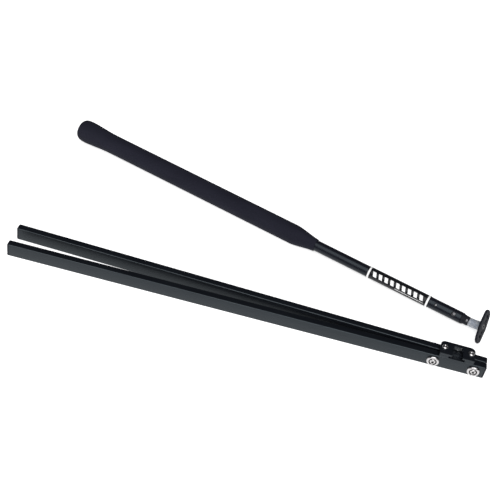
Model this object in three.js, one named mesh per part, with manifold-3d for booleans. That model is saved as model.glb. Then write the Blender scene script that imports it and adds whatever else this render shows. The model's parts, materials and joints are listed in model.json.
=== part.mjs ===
// A small-boat tiller with its detachable tiller extension, in millimetres, +Z up.
// The tiller is two box tubes bolted together at the front and spread into a fork at the rear.
// A quick-release bracket sits on top of its front end. The extension lies beside it: a tube with
// a foam grip, and at the front a flexible neck with a flat foot that slides into the bracket.
import * as THREE from "three";
import { mergeVertices } from "three/addons/utils/BufferGeometryUtils.js";
import Module from "manifold-3d";

const wasm = await Module();
wasm.setup();

// ---------------------------------------------------------------- driving dimensions
// Tiller
const TILLER_LENGTH = 655;
const ARM_HEIGHT = 20;
const ARM_WIDTH = 10;
const ARM_WALL = 1.5;
const ARM_CORNER = 1.2; // outer corner radius of the box tube
const FORK_GAP = 24.6; // between the arms' inner faces at the rear end
const TIP_GAP = 0.4; // between the arms' inner faces at the front end
const PLUG_CAP = 2.5; // thickness of an end plug outside its tube
const PLUG_LEG = 14; // length of an end plug inside its tube
const PLUG_ROUNDING = 1;

// Cross bolts, M5 with raised countersunk heads in cup washers
const BOLT_RADIUS = 2.5;
const BOLT_HEAD_RADIUS = 4.7;
const BOLT_CROWN = 1.1; // height of the head's raised top
const BOLT_SOCKET_FLATS = 3;
const BOLT_SOCKET_DEPTH = 1.7;
const BOLT_TAIL = 1.5; // thread that shows beyond the nut
const BOLT_HEIGHT = 9.9; // axis height above the arms' underside
const FRONT_BOLT_INSET = 15.5; // from the front end
const BOLT_SPACING = 54;
const CUP_WASHER_RADIUS = 8.15;
const CUP_WASHER_FLOOR = 0.75; // thickness under the bolt head's cone
const CUP_WASHER_TOP = 2.1; // from the rim in to where the rounded top ends
const COUNTERSINK_SLOPE = 0.8; // height for each unit of radius
const FLAT_WASHER_RADIUS = 5.2;
const FLAT_WASHER_THICKNESS = 1;
const NUT_FLATS = 8;
const NUT_HEIGHT = 5;
const NUT_COLLAR = 1.5; // height of the locking collar on top of the hexagon
const SPACER_RADIUS = 6;

// Quick-release bracket
const BRACKET_INSET = 41.5; // its centre, from the front end
const BRACKET_LENGTH = 46;
const BRACKET_WIDTH = 23;
const BRACKET_CORNER = 6; // on the closed side
const BRACKET_NEAR_CORNER = 1; // on the side where the slot opens
const FLOOR_THICKNESS = 1.3;
const PLATE_THICKNESS = 2.7;
const SLOT_BACK = 1.8; // where the neck stops, from the tiller's centre plane
const BRACKET_SCREW_SPACING = 35;
const BRACKET_SCREW_RADIUS = 2;
const SCREW_HEAD_RADIUS = 3.9;
const SCREW_HEAD_HEIGHT = 2.6;
const SCREW_RECESS_WIDTH = 1;
const BASE_RIVET_RADIUS = 1.45;
const BASE_RIVET_HEAD = 2.25;
const BASE_RIVET_CONE = 0.8; // height of its countersunk head
const BASE_RIVET_BULB = 2.8; // length of its set end inside the arm
const BASE_RIVET_SPACING = 13;

// Spring catch in the bracket
const LEAF_WIDTH = 9.5;
const LEAF_THICKNESS = 0.8;
const LEAF_LIP = 0.8; // thickness of the raised lip that a thumb lifts
const LEAF_LIP_RISE = 0.4; // how far the lip stands above the plate
const LEAF_HEEL = 3;
const LEAF_BEND = 5.4; // the line where the leaf bends, from the slot's back
const NOSE_PLACE = 2.5; // its centre, from the slot's back
const NOSE_RADIUS = 1.5;
const NOSE_NECK = 0.7; // radius where the nose passes through the leaf, against its own radius
const NOSE_ENGAGEMENT = 0.8; // how far the nose drops into a foot that rests on the floor
const CATCH_RIVET_RADIUS = 0.9;
const CATCH_RIVET_HEAD = 1.4;
const CATCH_RIVET_HEAD_HEIGHT = 0.15;

// Extension
const EXTENSION_LENGTH = 642; // tube and grip, up to the ferrule
const BARE_TUBE = 228; // length of tube in front of the grip
const TUBE_RADIUS = 8;
const TUBE_WALL = 1.2;
const TUBE_START = 6; // the tube's end inside the grip
const GRIP_RADIUS = 14.5;
const GRIP_FLARE_RADIUS = 17;
const GRIP_FLARE_PLACE = 18; // where the flare is widest
const GRIP_FLARE_END = 70;
const GRIP_LIP = 0.8; // thickness of the foam where the taper ends
const GRIP_MOUTH_STEP = 1; // how much smaller the rear opening is than the tube
const GRIP_TAPER = 36;
const END_PLUG_LEG = 14; // length of the tube's rear plug inside it
const LABEL_INSET = 48; // from the tube's front end
const LABEL_LENGTH = 95.5;
const LABEL_THICKNESS = 0.3;
const FERRULE_LEG = 46; // length inside the tube
const FERRULE_CONE = 5.4;
const FERRULE_COLLAR = 5.4;
const COLLAR_LIP = 0.3; // how far the collar stands proud of the neck
const FASTENER_ROLL = THREE.MathUtils.degToRad(47.5); // from straight up, towards the tiller
const RIVET_BACK = 38; // ferrule fasteners, back from the tube's front end
const SCREW_BACK = 11;
const FASTENER_RADIUS = 1.6;
const FASTENER_DEPTH = 1.5; // how close to the axis a ferrule fastener reaches
const FERRULE_RIVET_HEAD = [2.1, 1]; // radius and height
const FERRULE_SCREW_HEAD = [3.2, 1.5];
const NECK_PIN_HEAD = [2.4, 1.1];

// Flexible neck and foot
const NECK_RADIUS = 6.2;
const NECK_LENGTH = 19.5;
const NECK_SPIGOT_RADIUS = 4;
const NECK_SPIGOT = 10;
const FOOT_LENGTH = 50;
const FOOT_WIDTH = 20;
const FOOT_END_RADIUS = 8;
const FOOT_THICKNESS = 3;
const FOOT_HOLE_RADIUS = 2.6;
const FOOT_HOLE_SPACING = 30;
const FOOT_SCREW_RADIUS = 2;
const FOOT_SCREW_HEAD = 3.8;
const FOOT_SCREW_LENGTH = 6; // from the foot's inner face into the neck
const FOOT_SCREW_FLATS = 2.5;

// How the extension lies beside the tiller
const EXTENSION_X = 1.3; // grip end, from the tiller's rear end
const EXTENSION_Y = 264.1; // grip end, from the tiller's centre plane
const EXTENSION_YAW = THREE.MathUtils.degToRad(-16.76);
const FOOT_ROLL = THREE.MathUtils.degToRad(-55.7);
const NECK_BEND_LONG = THREE.MathUtils.degToRad(-24.5); // about the foot's long axis
const NECK_BEND_SHORT = THREE.MathUtils.degToRad(-6.9); // about its short axis

// Clearances
const GAP = 0.3; // between pieces that touch
const SEAT = 0.1; // between flat faces that rest on each other
const HOLE_PLAY = 0.25; // a fastener in its hole, on the radius
const CHANNEL_PLAY = 0.6; // the foot in its channel, on the height
const CHANNEL_SIDE_PLAY = 0.75; // each side
const SLOT_PLAY = 0.95; // the neck in its slot, each side
const FLUSH = 0.1; // how far a countersunk head sits below its face

// ---------------------------------------------------------------- derived dimensions
const tubeRear = PLUG_CAP;
const forkAngle = Math.atan((FORK_GAP - TIP_GAP) / 2 / TILLER_LENGTH);
const frontBoltX = TILLER_LENGTH - FRONT_BOLT_INSET;
const rearBoltX = frontBoltX - BOLT_SPACING;
const bracketX = TILLER_LENGTH - BRACKET_INSET;
const channelWidth = FOOT_WIDTH + 2 * CHANNEL_SIDE_PLAY;
const channelHeight = FOOT_THICKNESS + CHANNEL_PLAY;
const baseBottom = ARM_HEIGHT + SEAT;
const floorTop = baseBottom + FLOOR_THICKNESS;
const baseTop = floorTop + channelHeight;
const plateBottom = baseTop + SEAT;
const plateTop = plateBottom + PLATE_THICKNESS;
const slotWidth = 2 * (NECK_RADIUS + SLOT_PLAY);
const seatedNeckY = SLOT_BACK - NECK_RADIUS - GAP;
const noseY = SLOT_BACK + NOSE_PLACE;
const detentPlace = noseY - seatedNeckY; // from the foot's centre
const hingeY = SLOT_BACK + LEAF_BEND;
const leafBottom = plateBottom + GAP;
const leafTop = leafBottom + LEAF_THICKNESS;
const leafFront = SLOT_BACK + GAP + SEAT;
const leafWindowHalf = LEAF_WIDTH / 2 + GAP + SEAT;
const gripEnd = EXTENSION_LENGTH - BARE_TUBE;
const gripStraightEnd = gripEnd - GRIP_TAPER;
const labelEnd = EXTENSION_LENGTH - LABEL_INSET;
const collarRadius = NECK_RADIUS + COLLAR_LIP;
const ferruleFront = EXTENSION_LENGTH + GAP + FERRULE_CONE + FERRULE_COLLAR;
const neckPinX = ferruleFront - FERRULE_COLLAR / 2;
const ferruleRivetX = EXTENSION_LENGTH - RIVET_BACK;
const ferruleScrewX = EXTENSION_LENGTH - SCREW_BACK;
const extensionPitch = Math.atan(
  (GRIP_FLARE_RADIUS - GRIP_RADIUS) / (gripStraightEnd - GRIP_FLARE_PLACE),
);

const X = new THREE.Vector3(1, 0, 0);
const Y = new THREE.Vector3(0, 1, 0);
const Z = new THREE.Vector3(0, 0, 1);
const ORIGIN = new THREE.Vector3(0, 0, 0);

// ---------------------------------------------------------------- materials
const finish = (color, roughness, metalness) =>
  new THREE.MeshStandardMaterial({ color, roughness, metalness });
const ANODISED = finish(0x1b1d22, 0.45, 0.8);
const ANODISED_TUBE = finish(0x16171b, 0.35, 0.8);
const NYLON = finish(0x121316, 0.55, 0);
const STAINLESS = finish(0xc9cbd0, 0.25, 1);
const DARK_STEEL = finish(0x2c2d31, 0.35, 1);
const FOAM = finish(0x17171d, 0.95, 0);
const URETHANE = finish(0xe4e6e8, 0.4, 0);
const LABEL = finish(0x0c0c0e, 0.3, 0);

// ---------------------------------------------------------------- solids
// A closed geometry, moved by a matrix, as a solid that can be cut and joined.
function solid(geometry, matrix = new THREE.Matrix4()) {
  const loose = geometry.index ? geometry.toNonIndexed() : geometry;
  const bare = new THREE.BufferGeometry();
  bare.setAttribute("position", loose.getAttribute("position").clone());
  bare.applyMatrix4(matrix);
  const merged = mergeVertices(bare, 1e-4);
  const mesh = new wasm.Mesh({
    numProp: 3,
    vertProperties: merged.attributes.position.array,
    triVerts: new Uint32Array(merged.index.array),
  });
  return new wasm.Manifold(mesh);
}

// Matrix that puts a shape's own X, Y and Z along the given directions, at a place.
function frameAt(place, x, y, z) {
  return new THREE.Matrix4().makeBasis(x, y, z).setPosition(place);
}

function box(low, high) {
  const size = new THREE.Vector3().subVectors(high, low);
  const centre = new THREE.Vector3().addVectors(low, high).multiplyScalar(0.5);
  const geometry = new THREE.BoxGeometry(size.x, size.y, size.z);
  return solid(geometry, new THREE.Matrix4().setPosition(centre));
}

const corner = (x, y, z) => new THREE.Vector3(x, y, z);

// A turned piece. Each profile point is [radius, distance along the axis], and the profile runs
// up the outside: it starts and ends on the axis, or closes on itself round a bore.
function turned(profile, place, direction, segments = 24) {
  const points = profile.map(([radius, along]) => new THREE.Vector2(radius, along));
  const turn = new THREE.Quaternion().setFromUnitVectors(Y, direction);
  const matrix = new THREE.Matrix4().compose(place, turn, new THREE.Vector3(1, 1, 1));
  return solid(new THREE.LatheGeometry(points, segments), matrix);
}

function rod(radius, start, end, place, direction, segments = 16) {
  const profile = [
    [0, start],
    [radius, start],
    [radius, end],
    [0, end],
  ];
  return turned(profile, place, direction, segments);
}

function ring(inner, outer, start, end, place, direction, segments = 24) {
  const profile = [
    [inner, start],
    [outer, start],
    [outer, end],
    [inner, end],
    [inner, start],
  ];
  return turned(profile, place, direction, segments);
}

// A flat outline given a thickness, from one height to another.
function slab(outline, bottom, top, curveSegments = 4) {
  const geometry = new THREE.ExtrudeGeometry(outline, {
    depth: top - bottom,
    bevelEnabled: false,
    curveSegments,
  });
  return solid(geometry, new THREE.Matrix4().setPosition(0, 0, bottom));
}

// An outline in the YZ plane, run along X.
function bar(outline, start, end, curveSegments = 2) {
  const geometry = new THREE.ExtrudeGeometry(outline, {
    depth: end - start,
    bevelEnabled: false,
    curveSegments,
  });
  return solid(geometry, frameAt(corner(start, 0, 0), Y, Z, X));
}

// A rectangle with its own radius at each corner, counted from the low one, turning left.
function roundedRectangle(x0, y0, x1, y1, radii) {
  const [r0, r1, r2, r3] = radii;
  const quarter = Math.PI / 2;
  const shape = new THREE.Shape();
  shape.moveTo(x0 + r0, y0);
  shape.lineTo(x1 - r1, y0);
  shape.absarc(x1 - r1, y0 + r1, r1, -quarter, 0);
  shape.absarc(x1 - r2, y1 - r2, r2, 0, quarter);
  shape.absarc(x0 + r3, y1 - r3, r3, quarter, 2 * quarter);
  shape.absarc(x0 + r0, y0 + r0, r0, 2 * quarter, 3 * quarter);
  return shape;
}

function hexagon(flats, start, end, place, direction) {
  const circumradius = flats / Math.sqrt(3);
  return rod(circumradius, start, end, place, direction, 6);
}

const root = new THREE.Group();

// Adds a solid to the scene graph as one named piece.
function piece(name, body, material, parent) {
  const mesh = body.getMesh();
  const geometry = new THREE.BufferGeometry();
  geometry.setAttribute("position", new THREE.BufferAttribute(mesh.vertProperties, 3));
  geometry.setIndex(new THREE.BufferAttribute(mesh.triVerts, 1));
  geometry.computeVertexNormals();
  const made = new THREE.Mesh(geometry, material);
  made.name = name;
  parent.add(made);
}

// ---------------------------------------------------------------- tiller arms
// side is -1 for the near arm and +1 for the far arm.
const SIDES = [
  ["near", -1],
  ["far", 1],
];

function innerFaceY(x) {
  return TIP_GAP / 2 + (TILLER_LENGTH - x) * Math.tan(forkAngle);
}

function outerFaceY(x) {
  return innerFaceY(x) + ARM_WIDTH / Math.cos(forkAngle);
}

function armCentreY(x) {
  return (innerFaceY(x) + outerFaceY(x)) / 2;
}

// An arm's own frame: X along the tube with 0 at the tiller's front end, Y across its width.
function armFrame(side) {
  const turn = new THREE.Matrix4().makeRotationZ(-side * forkAngle);
  const place = armCentreY(TILLER_LENGTH) * side;
  return turn.setPosition(TILLER_LENGTH, place, 0);
}

function armSection(inset) {
  const radius = Math.max(ARM_CORNER - inset, 0.3);
  const half = ARM_WIDTH / 2 - inset;
  return roundedRectangle(-half, inset, half, ARM_HEIGHT - inset, Array(4).fill(radius));
}

function boltHoles(radius) {
  const reach = FORK_GAP + ARM_WIDTH;
  return [rearBoltX, frontBoltX].map((x) =>
    rod(radius, -reach, reach, corner(x, 0, BOLT_HEIGHT), Y),
  );
}

function baseRivetPlaces() {
  return [-1, 1].flatMap((end) =>
    [-1, 1].map((side) => {
      const x = bracketX + (end * BASE_RIVET_SPACING) / 2;
      return corner(x, side * armCentreY(x), 0);
    }),
  );
}

function arm(side) {
  const outside = bar(armSection(0), tubeRear - TILLER_LENGTH, -PLUG_CAP);
  const inside = bar(armSection(ARM_WALL), -2 * TILLER_LENGTH, TILLER_LENGTH);
  let tube = outside.subtract(inside).transform(armFrame(side).toArray());
  for (const hole of boltHoles(BOLT_RADIUS + HOLE_PLAY)) tube = tube.subtract(hole);
  for (const place of baseRivetPlaces()) {
    const hole = rod(BASE_RIVET_RADIUS + HOLE_PLAY, ARM_HEIGHT / 2, ARM_HEIGHT + 1, place, Z);
    tube = tube.subtract(hole);
  }
  return tube;
}

// A moulded end plug: a cap with rounded edges and a leg inside the tube.
function endPlug(side, atFront) {
  const rounding = PLUG_ROUNDING;
  const half = ARM_WIDTH / 2 - rounding;
  const outline = roundedRectangle(
    -half,
    rounding,
    half,
    ARM_HEIGHT - rounding,
    Array(4).fill(Math.max(ARM_CORNER - rounding, 0.2)),
  );
  const geometry = new THREE.ExtrudeGeometry(outline, {
    depth: PLUG_CAP - rounding,
    bevelThickness: rounding,
    bevelSize: rounding,
    bevelSegments: 2,
    curveSegments: 2,
  });
  const wide = 2 * ARM_WIDTH;
  const tall = 2 * ARM_HEIGHT;
  const cap = solid(geometry, frameAt(ORIGIN, Y, Z, X)).subtract(
    box(corner(-wide, -wide, -tall), corner(SEAT, wide, tall)),
  );
  const leg = bar(armSection(ARM_WALL + HOLE_PLAY), -PLUG_LEG, 2 * SEAT);
  const plug = cap.add(leg);
  const end = atFront
    ? new THREE.Matrix4().setPosition(-PLUG_CAP, 0, 0)
    : new THREE.Matrix4().makeRotationZ(Math.PI).setPosition(PLUG_CAP - TILLER_LENGTH, 0, 0);
  let placed = plug.transform(armFrame(side).multiply(end).toArray());
  for (const hole of boltHoles(BOLT_RADIUS + HOLE_PLAY)) placed = placed.subtract(hole);
  return placed;
}

// ---------------------------------------------------------------- cross bolts
const boltSeatY = (x) => outerFaceY(x) + GAP;

function crossBolt(x) {
  const seat = boltSeatY(x);
  const tail = 2 * seat + FLAT_WASHER_THICKNESS + NUT_HEIGHT + 2 * SEAT + BOLT_TAIL;
  const coneStart = CUP_WASHER_FLOOR;
  const coneEnd = coneStart + (BOLT_HEAD_RADIUS - BOLT_RADIUS) * COUNTERSINK_SLOPE;
  const profile = [
    [0, -tail],
    [BOLT_RADIUS, -tail],
    [BOLT_RADIUS, coneStart],
    [BOLT_HEAD_RADIUS, coneEnd],
  ];
  for (let step = 1; step <= 4; step += 1) {
    const angle = (step / 4) * (Math.PI / 2);
    profile.push([BOLT_HEAD_RADIUS * Math.cos(angle), coneEnd + BOLT_CROWN * Math.sin(angle)]);
  }
  profile[profile.length - 1][0] = 0;
  const place = corner(x, -seat, BOLT_HEIGHT);
  const outward = Y.clone().negate();
  const top = coneEnd + BOLT_CROWN;
  const socket = hexagon(BOLT_SOCKET_FLATS, top - BOLT_SOCKET_DEPTH, top + 1, place, outward);
  return turned(profile, place, outward).subtract(socket);
}

function cupWasher(x) {
  const bore = BOLT_RADIUS + 2 * HOLE_PLAY;
  const lip = BOLT_HEAD_RADIUS + 2 * HOLE_PLAY;
  const coneStart = CUP_WASHER_FLOOR;
  const coneEnd = coneStart + (lip - bore) * COUNTERSINK_SLOPE;
  const rim = CUP_WASHER_RADIUS;
  const profile = [
    [bore, 0],
    [rim, 0],
    [rim, 0.6 * coneEnd],
    [rim - 0.2 * CUP_WASHER_TOP, 0.82 * coneEnd],
    [rim - 0.5 * CUP_WASHER_TOP, 0.97 * coneEnd],
    [rim - CUP_WASHER_TOP, coneEnd + 0.1],
    [lip + 0.3, coneEnd + 0.2],
    [lip, coneEnd],
    [bore, coneStart],
    [bore, 0],
  ];
  return turned(profile, corner(x, -boltSeatY(x), BOLT_HEIGHT), Y.clone().negate());
}

function flatWasher(x) {
  const place = corner(x, boltSeatY(x), BOLT_HEIGHT);
  return ring(BOLT_RADIUS + HOLE_PLAY, FLAT_WASHER_RADIUS, 0, FLAT_WASHER_THICKNESS, place, Y);
}

function lockNut(x) {
  const place = corner(x, boltSeatY(x) + FLAT_WASHER_THICKNESS + SEAT, BOLT_HEIGHT);
  const hex = hexagon(NUT_FLATS, 0, NUT_HEIGHT - NUT_COLLAR, place, Y);
  const top = rod(NUT_FLATS * 0.46, 1, NUT_HEIGHT, place, Y);
  const bore = rod(BOLT_RADIUS + SEAT, -1, NUT_HEIGHT + 1, place, Y);
  return hex.add(top).subtract(bore);
}

function armSpacer() {
  const half = innerFaceY(rearBoltX) - GAP;
  const place = corner(rearBoltX, 0, BOLT_HEIGHT);
  return ring(BOLT_RADIUS + HOLE_PLAY, SPACER_RADIUS, -half, half, place, Y);
}

// ---------------------------------------------------------------- quick-release bracket
function bracketOutline() {
  const half = BRACKET_WIDTH / 2;
  const start = bracketX - BRACKET_LENGTH / 2;
  return roundedRectangle(start, -half, start + BRACKET_LENGTH, half, [
    BRACKET_NEAR_CORNER,
    BRACKET_NEAR_CORNER,
    BRACKET_CORNER,
    BRACKET_CORNER,
  ]);
}

function bracketScrewPlaces() {
  return [-1, 1].map((end) => corner(bracketX + (end * BRACKET_SCREW_SPACING) / 2, 0, 0));
}

function bracketBase() {
  const deep = BRACKET_WIDTH;
  let base = slab(bracketOutline(), baseBottom, baseTop).subtract(
    box(
      corner(bracketX - channelWidth / 2, -deep, floorTop),
      corner(bracketX + channelWidth / 2, deep, baseTop + 1),
    ),
  );
  for (const place of bracketScrewPlaces()) {
    const hole = rod(BRACKET_SCREW_RADIUS + SEAT, baseBottom - 1, baseTop + 1, place, Z);
    base = base.subtract(hole);
  }
  for (const place of baseRivetPlaces()) {
    const shank = BASE_RIVET_RADIUS + HOLE_PLAY;
    const head = BASE_RIVET_HEAD + HOLE_PLAY;
    const profile = [
      [0, baseBottom - 1],
      [shank, baseBottom - 1],
      [shank, floorTop - FLUSH - BASE_RIVET_CONE],
      [head, floorTop - FLUSH],
      [head, floorTop + 1],
      [0, floorTop + 1],
    ];
    base = base.subtract(turned(profile, place, Z, 16));
  }
  return base;
}

// A countersunk rivet through the base's floor and an arm's top wall, set inside the arm.
function baseRivet(place) {
  const set = ARM_HEIGHT - ARM_WALL - 0.2;
  const bulb = BASE_RIVET_HEAD;
  const profile = [
    [0, set - BASE_RIVET_BULB],
    [bulb * 0.7, set - 0.93 * BASE_RIVET_BULB],
    [bulb, set - 0.46 * BASE_RIVET_BULB],
    [BASE_RIVET_RADIUS, set],
    [BASE_RIVET_RADIUS, floorTop - FLUSH - BASE_RIVET_CONE],
    [BASE_RIVET_HEAD, floorTop - FLUSH],
    [0, floorTop - FLUSH],
  ];
  return turned(profile, place, Z, 12);
}

function bracketPlate() {
  const half = BRACKET_WIDTH / 2;
  const low = plateBottom - 1;
  const high = plateTop + 1;
  const pocketTop = leafTop + GAP;
  const slot = box(
    corner(bracketX - slotWidth / 2, -half - 1, low),
    corner(bracketX + slotWidth / 2, SLOT_BACK, high),
  );
  const leafWindow = box(
    corner(bracketX - leafWindowHalf, SLOT_BACK - 1, low),
    corner(bracketX + leafWindowHalf, hingeY, high),
  );
  const heelPocket = box(
    corner(bracketX - leafWindowHalf, hingeY - 1, low),
    corner(bracketX + leafWindowHalf, hingeY + LEAF_HEEL + 2 * GAP, pocketTop),
  );
  let plate = slab(bracketOutline(), plateBottom, plateTop);
  plate = plate.subtract(slot).subtract(leafWindow).subtract(heelPocket);
  for (const place of bracketScrewPlaces()) {
    plate = plate.subtract(rod(BRACKET_SCREW_RADIUS + HOLE_PLAY, low, high, place, Z));
  }
  return plate.subtract(catchRivetShape(2 * SEAT));
}

function bracketScrew(place) {
  const seat = plateTop + SEAT;
  const profile = [
    [0, baseBottom + GAP],
    [BRACKET_SCREW_RADIUS, baseBottom + GAP],
    [BRACKET_SCREW_RADIUS, seat],
    [SCREW_HEAD_RADIUS, seat],
    [SCREW_HEAD_RADIUS, seat + SCREW_HEAD_HEIGHT * 0.45],
    [SCREW_HEAD_RADIUS * 0.86, seat + SCREW_HEAD_HEIGHT * 0.76],
    [SCREW_HEAD_RADIUS * 0.55, seat + SCREW_HEAD_HEIGHT * 0.95],
    [0, seat + SCREW_HEAD_HEIGHT],
  ];
  const slotHalf = SCREW_RECESS_WIDTH / 2;
  const reach = SCREW_HEAD_RADIUS * 0.6;
  const bottom = seat + SCREW_HEAD_HEIGHT * 0.4;
  const top = seat + SCREW_HEAD_HEIGHT + 1;
  const lengthways = box(
    corner(place.x - reach, -slotHalf, bottom),
    corner(place.x + reach, slotHalf, top),
  );
  const crossways = box(
    corner(place.x - slotHalf, -reach, bottom),
    corner(place.x + slotHalf, reach, top),
  );
  return turned(profile, place, Z).subtract(lengthways).subtract(crossways);
}

// ---------------------------------------------------------------- spring catch
const heelStart = hingeY + GAP / 2;
const heelEnd = heelStart + LEAF_HEEL;
const rivetY = (heelStart + heelEnd) / 2;

// The rivet that holds the leaf's heel up against the plate, or with play, the hole for it.
function catchRivetShape(play) {
  const shank = CATCH_RIVET_RADIUS + play;
  const head = CATCH_RIVET_HEAD + play;
  const reach = play > 0 ? 1 : 0;
  const low = leafBottom - SEAT - CATCH_RIVET_HEAD_HEIGHT - reach;
  const high = plateTop - FLUSH + 0.05 + reach;
  const profile = [
    [0, low],
    [head, low],
    [head, leafBottom - SEAT],
    [shank, leafBottom - SEAT],
    [shank, plateTop - FLUSH - 0.6],
    [head, plateTop - FLUSH],
    [head, high],
    [0, high],
  ];
  return turned(profile, corner(bracketX, rivetY, 0), Z, 12);
}

function leafHeel() {
  const half = LEAF_WIDTH / 2;
  const hole = CATCH_RIVET_RADIUS + HOLE_PLAY;
  return box(
    corner(bracketX - half, heelStart, leafBottom),
    corner(bracketX + half, heelEnd, leafTop),
  ).subtract(rod(hole, leafBottom - 1, leafTop + 1, corner(bracketX, rivetY, 0), Z));
}

function leafTongue() {
  const half = LEAF_WIDTH / 2;
  const lipTop = plateTop + LEAF_LIP_RISE;
  const outline = new THREE.Shape();
  outline.moveTo(leafFront, leafBottom);
  outline.lineTo(hingeY - GAP / 2, leafBottom);
  outline.lineTo(hingeY - GAP / 2, leafTop);
  outline.lineTo(leafFront + LEAF_LIP, leafTop);
  outline.lineTo(leafFront + LEAF_LIP, lipTop);
  outline.lineTo(leafFront, lipTop);
  const leaf = bar(outline, bracketX - half, bracketX + half);
  const hole = NOSE_RADIUS * NOSE_NECK;
  return leaf.subtract(rod(hole, leafBottom - 1, leafTop + 1, corner(bracketX, noseY, 0), Z));
}

// The nose that drops into the foot, riveted through the leaf.
function catchNose() {
  const engaged = floorTop + FOOT_THICKNESS - NOSE_ENGAGEMENT;
  const shank = NOSE_RADIUS * NOSE_NECK - HOLE_PLAY;
  const profile = [
    [0, engaged],
    [NOSE_RADIUS * 0.7, engaged],
    [NOSE_RADIUS, engaged + 0.5],
    [NOSE_RADIUS, leafBottom - SEAT],
    [shank, leafBottom - SEAT],
    [shank, leafTop + SEAT],
    [NOSE_RADIUS * 0.8, leafTop + SEAT],
    [NOSE_RADIUS * 0.6, leafTop + 0.5],
    [0, leafTop + 0.5],
  ];
  return turned(profile, corner(bracketX, noseY, 0), Z, 12);
}

// ---------------------------------------------------------------- extension
function foamGrip() {
  const bore = TUBE_RADIUS + GAP;
  const profile = [
    [0, 0],
    [9, 0],
    [13.5, 1.6],
    [15.8, 5],
    [16.8, 10],
    [GRIP_FLARE_RADIUS, GRIP_FLARE_PLACE],
    [GRIP_FLARE_RADIUS - 0.9, 32],
    [GRIP_RADIUS + 0.3, 50],
    [GRIP_RADIUS, GRIP_FLARE_END],
    [GRIP_RADIUS, gripStraightEnd],
  ];
  const steps = 6;
  const tip = bore + GRIP_LIP;
  for (let step = 1; step <= steps; step += 1) {
    const share = step / steps;
    const ease = share * share * (3 - 2 * share) * 0.6 + share * 0.4;
    profile.push([GRIP_RADIUS + (tip - GRIP_RADIUS) * ease, gripStraightEnd + GRIP_TAPER * share]);
  }
  profile.push([0, gripEnd]);
  const hollow = rod(bore, TUBE_START - GAP, EXTENSION_LENGTH, ORIGIN, X, 32);
  const mouth = rod(TUBE_RADIUS - GRIP_MOUTH_STEP, -1, TUBE_START, ORIGIN, X, 32);
  return turned(profile, ORIGIN, X, 32).subtract(hollow).subtract(mouth);
}

function extensionTube() {
  const inner = TUBE_RADIUS - TUBE_WALL;
  let tube = ring(inner, TUBE_RADIUS, TUBE_START, EXTENSION_LENGTH, ORIGIN, X, 32);
  for (const x of [ferruleRivetX, ferruleScrewX]) tube = tube.subtract(fastenerHole(x));
  return tube;
}

// A plug that closes the tube's rear end, with a button that shows in the grip's end.
function gripEndPlug() {
  const inner = TUBE_RADIUS - TUBE_WALL - HOLE_PLAY;
  const button = TUBE_RADIUS - GRIP_MOUTH_STEP - GAP;
  const profile = [
    [0, 0.6],
    [button * 0.7, 0.8],
    [button, 1.8],
    [button, TUBE_START - GAP],
    [inner, TUBE_START - GAP],
    [inner, TUBE_START + END_PLUG_LEG],
    [0, TUBE_START + END_PLUG_LEG],
  ];
  return turned(profile, ORIGIN, X, 24);
}

function labelBand() {
  const inner = TUBE_RADIUS + SEAT;
  return ring(inner, inner + LABEL_THICKNESS, labelEnd - LABEL_LENGTH, labelEnd, ORIGIN, X, 32);
}

const fastenerDirection = new THREE.Vector3(0, -Math.sin(FASTENER_ROLL), Math.cos(FASTENER_ROLL));

function fastenerHole(x) {
  const radius = FASTENER_RADIUS + HOLE_PLAY;
  const bottom = FASTENER_DEPTH - 0.5;
  return rod(radius, bottom, TUBE_RADIUS + 1, corner(x, 0, 0), fastenerDirection);
}

// A round-headed fastener, its head standing on a tube of the given radius.
function radialFastener(x, [headRadius, headHeight], seat) {
  const profile = [
    [0, FASTENER_DEPTH],
    [FASTENER_RADIUS, FASTENER_DEPTH],
    [FASTENER_RADIUS, seat],
    [headRadius, seat],
    [headRadius, seat + headHeight * 0.3],
    [headRadius * 0.8, seat + headHeight * 0.75],
    [headRadius * 0.4, seat + headHeight * 0.97],
    [0, seat + headHeight],
  ];
  return turned(profile, corner(x, 0, 0), fastenerDirection, 16);
}

function neckFerrule() {
  const leg = TUBE_RADIUS - TUBE_WALL - HOLE_PLAY;
  const shoulder = EXTENSION_LENGTH + GAP;
  const profile = [
    [0, EXTENSION_LENGTH - FERRULE_LEG],
    [leg, EXTENSION_LENGTH - FERRULE_LEG],
    [leg, shoulder],
    [TUBE_RADIUS, shoulder],
    [TUBE_RADIUS, shoulder + 1],
    [collarRadius, shoulder + FERRULE_CONE],
    [collarRadius, ferruleFront - 0.4],
    [collarRadius - 0.4, ferruleFront],
    [0, ferruleFront],
  ];
  const socket = NECK_SPIGOT_RADIUS + GAP;
  let ferrule = turned(profile, ORIGIN, X, 32);
  ferrule = ferrule.subtract(rod(socket, ferruleFront - NECK_SPIGOT - GAP, ferruleFront + 1, ORIGIN, X));
  for (const x of [ferruleRivetX, ferruleScrewX, neckPinX]) {
    ferrule = ferrule.subtract(fastenerHole(x));
  }
  return ferrule;
}

// ---------------------------------------------------------------- neck and foot
// The neck's middle, where it bends, and the foot's own frame: X out of the foot's outer face,
// Y across its width, Z along its length, with 0 in the middle of its inner face.
const neckMiddle = corner(ferruleFront + NECK_LENGTH / 2, 0, 0);

function footFrame() {
  const turn = new THREE.Matrix4()
    .makeRotationX(FOOT_ROLL)
    .multiply(new THREE.Matrix4().makeRotationZ(NECK_BEND_LONG))
    .multiply(new THREE.Matrix4().makeRotationY(NECK_BEND_SHORT));
  const offset = corner(NECK_LENGTH / 2, 0, 0).applyMatrix4(turn);
  return turn.setPosition(neckMiddle.clone().add(offset));
}

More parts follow.
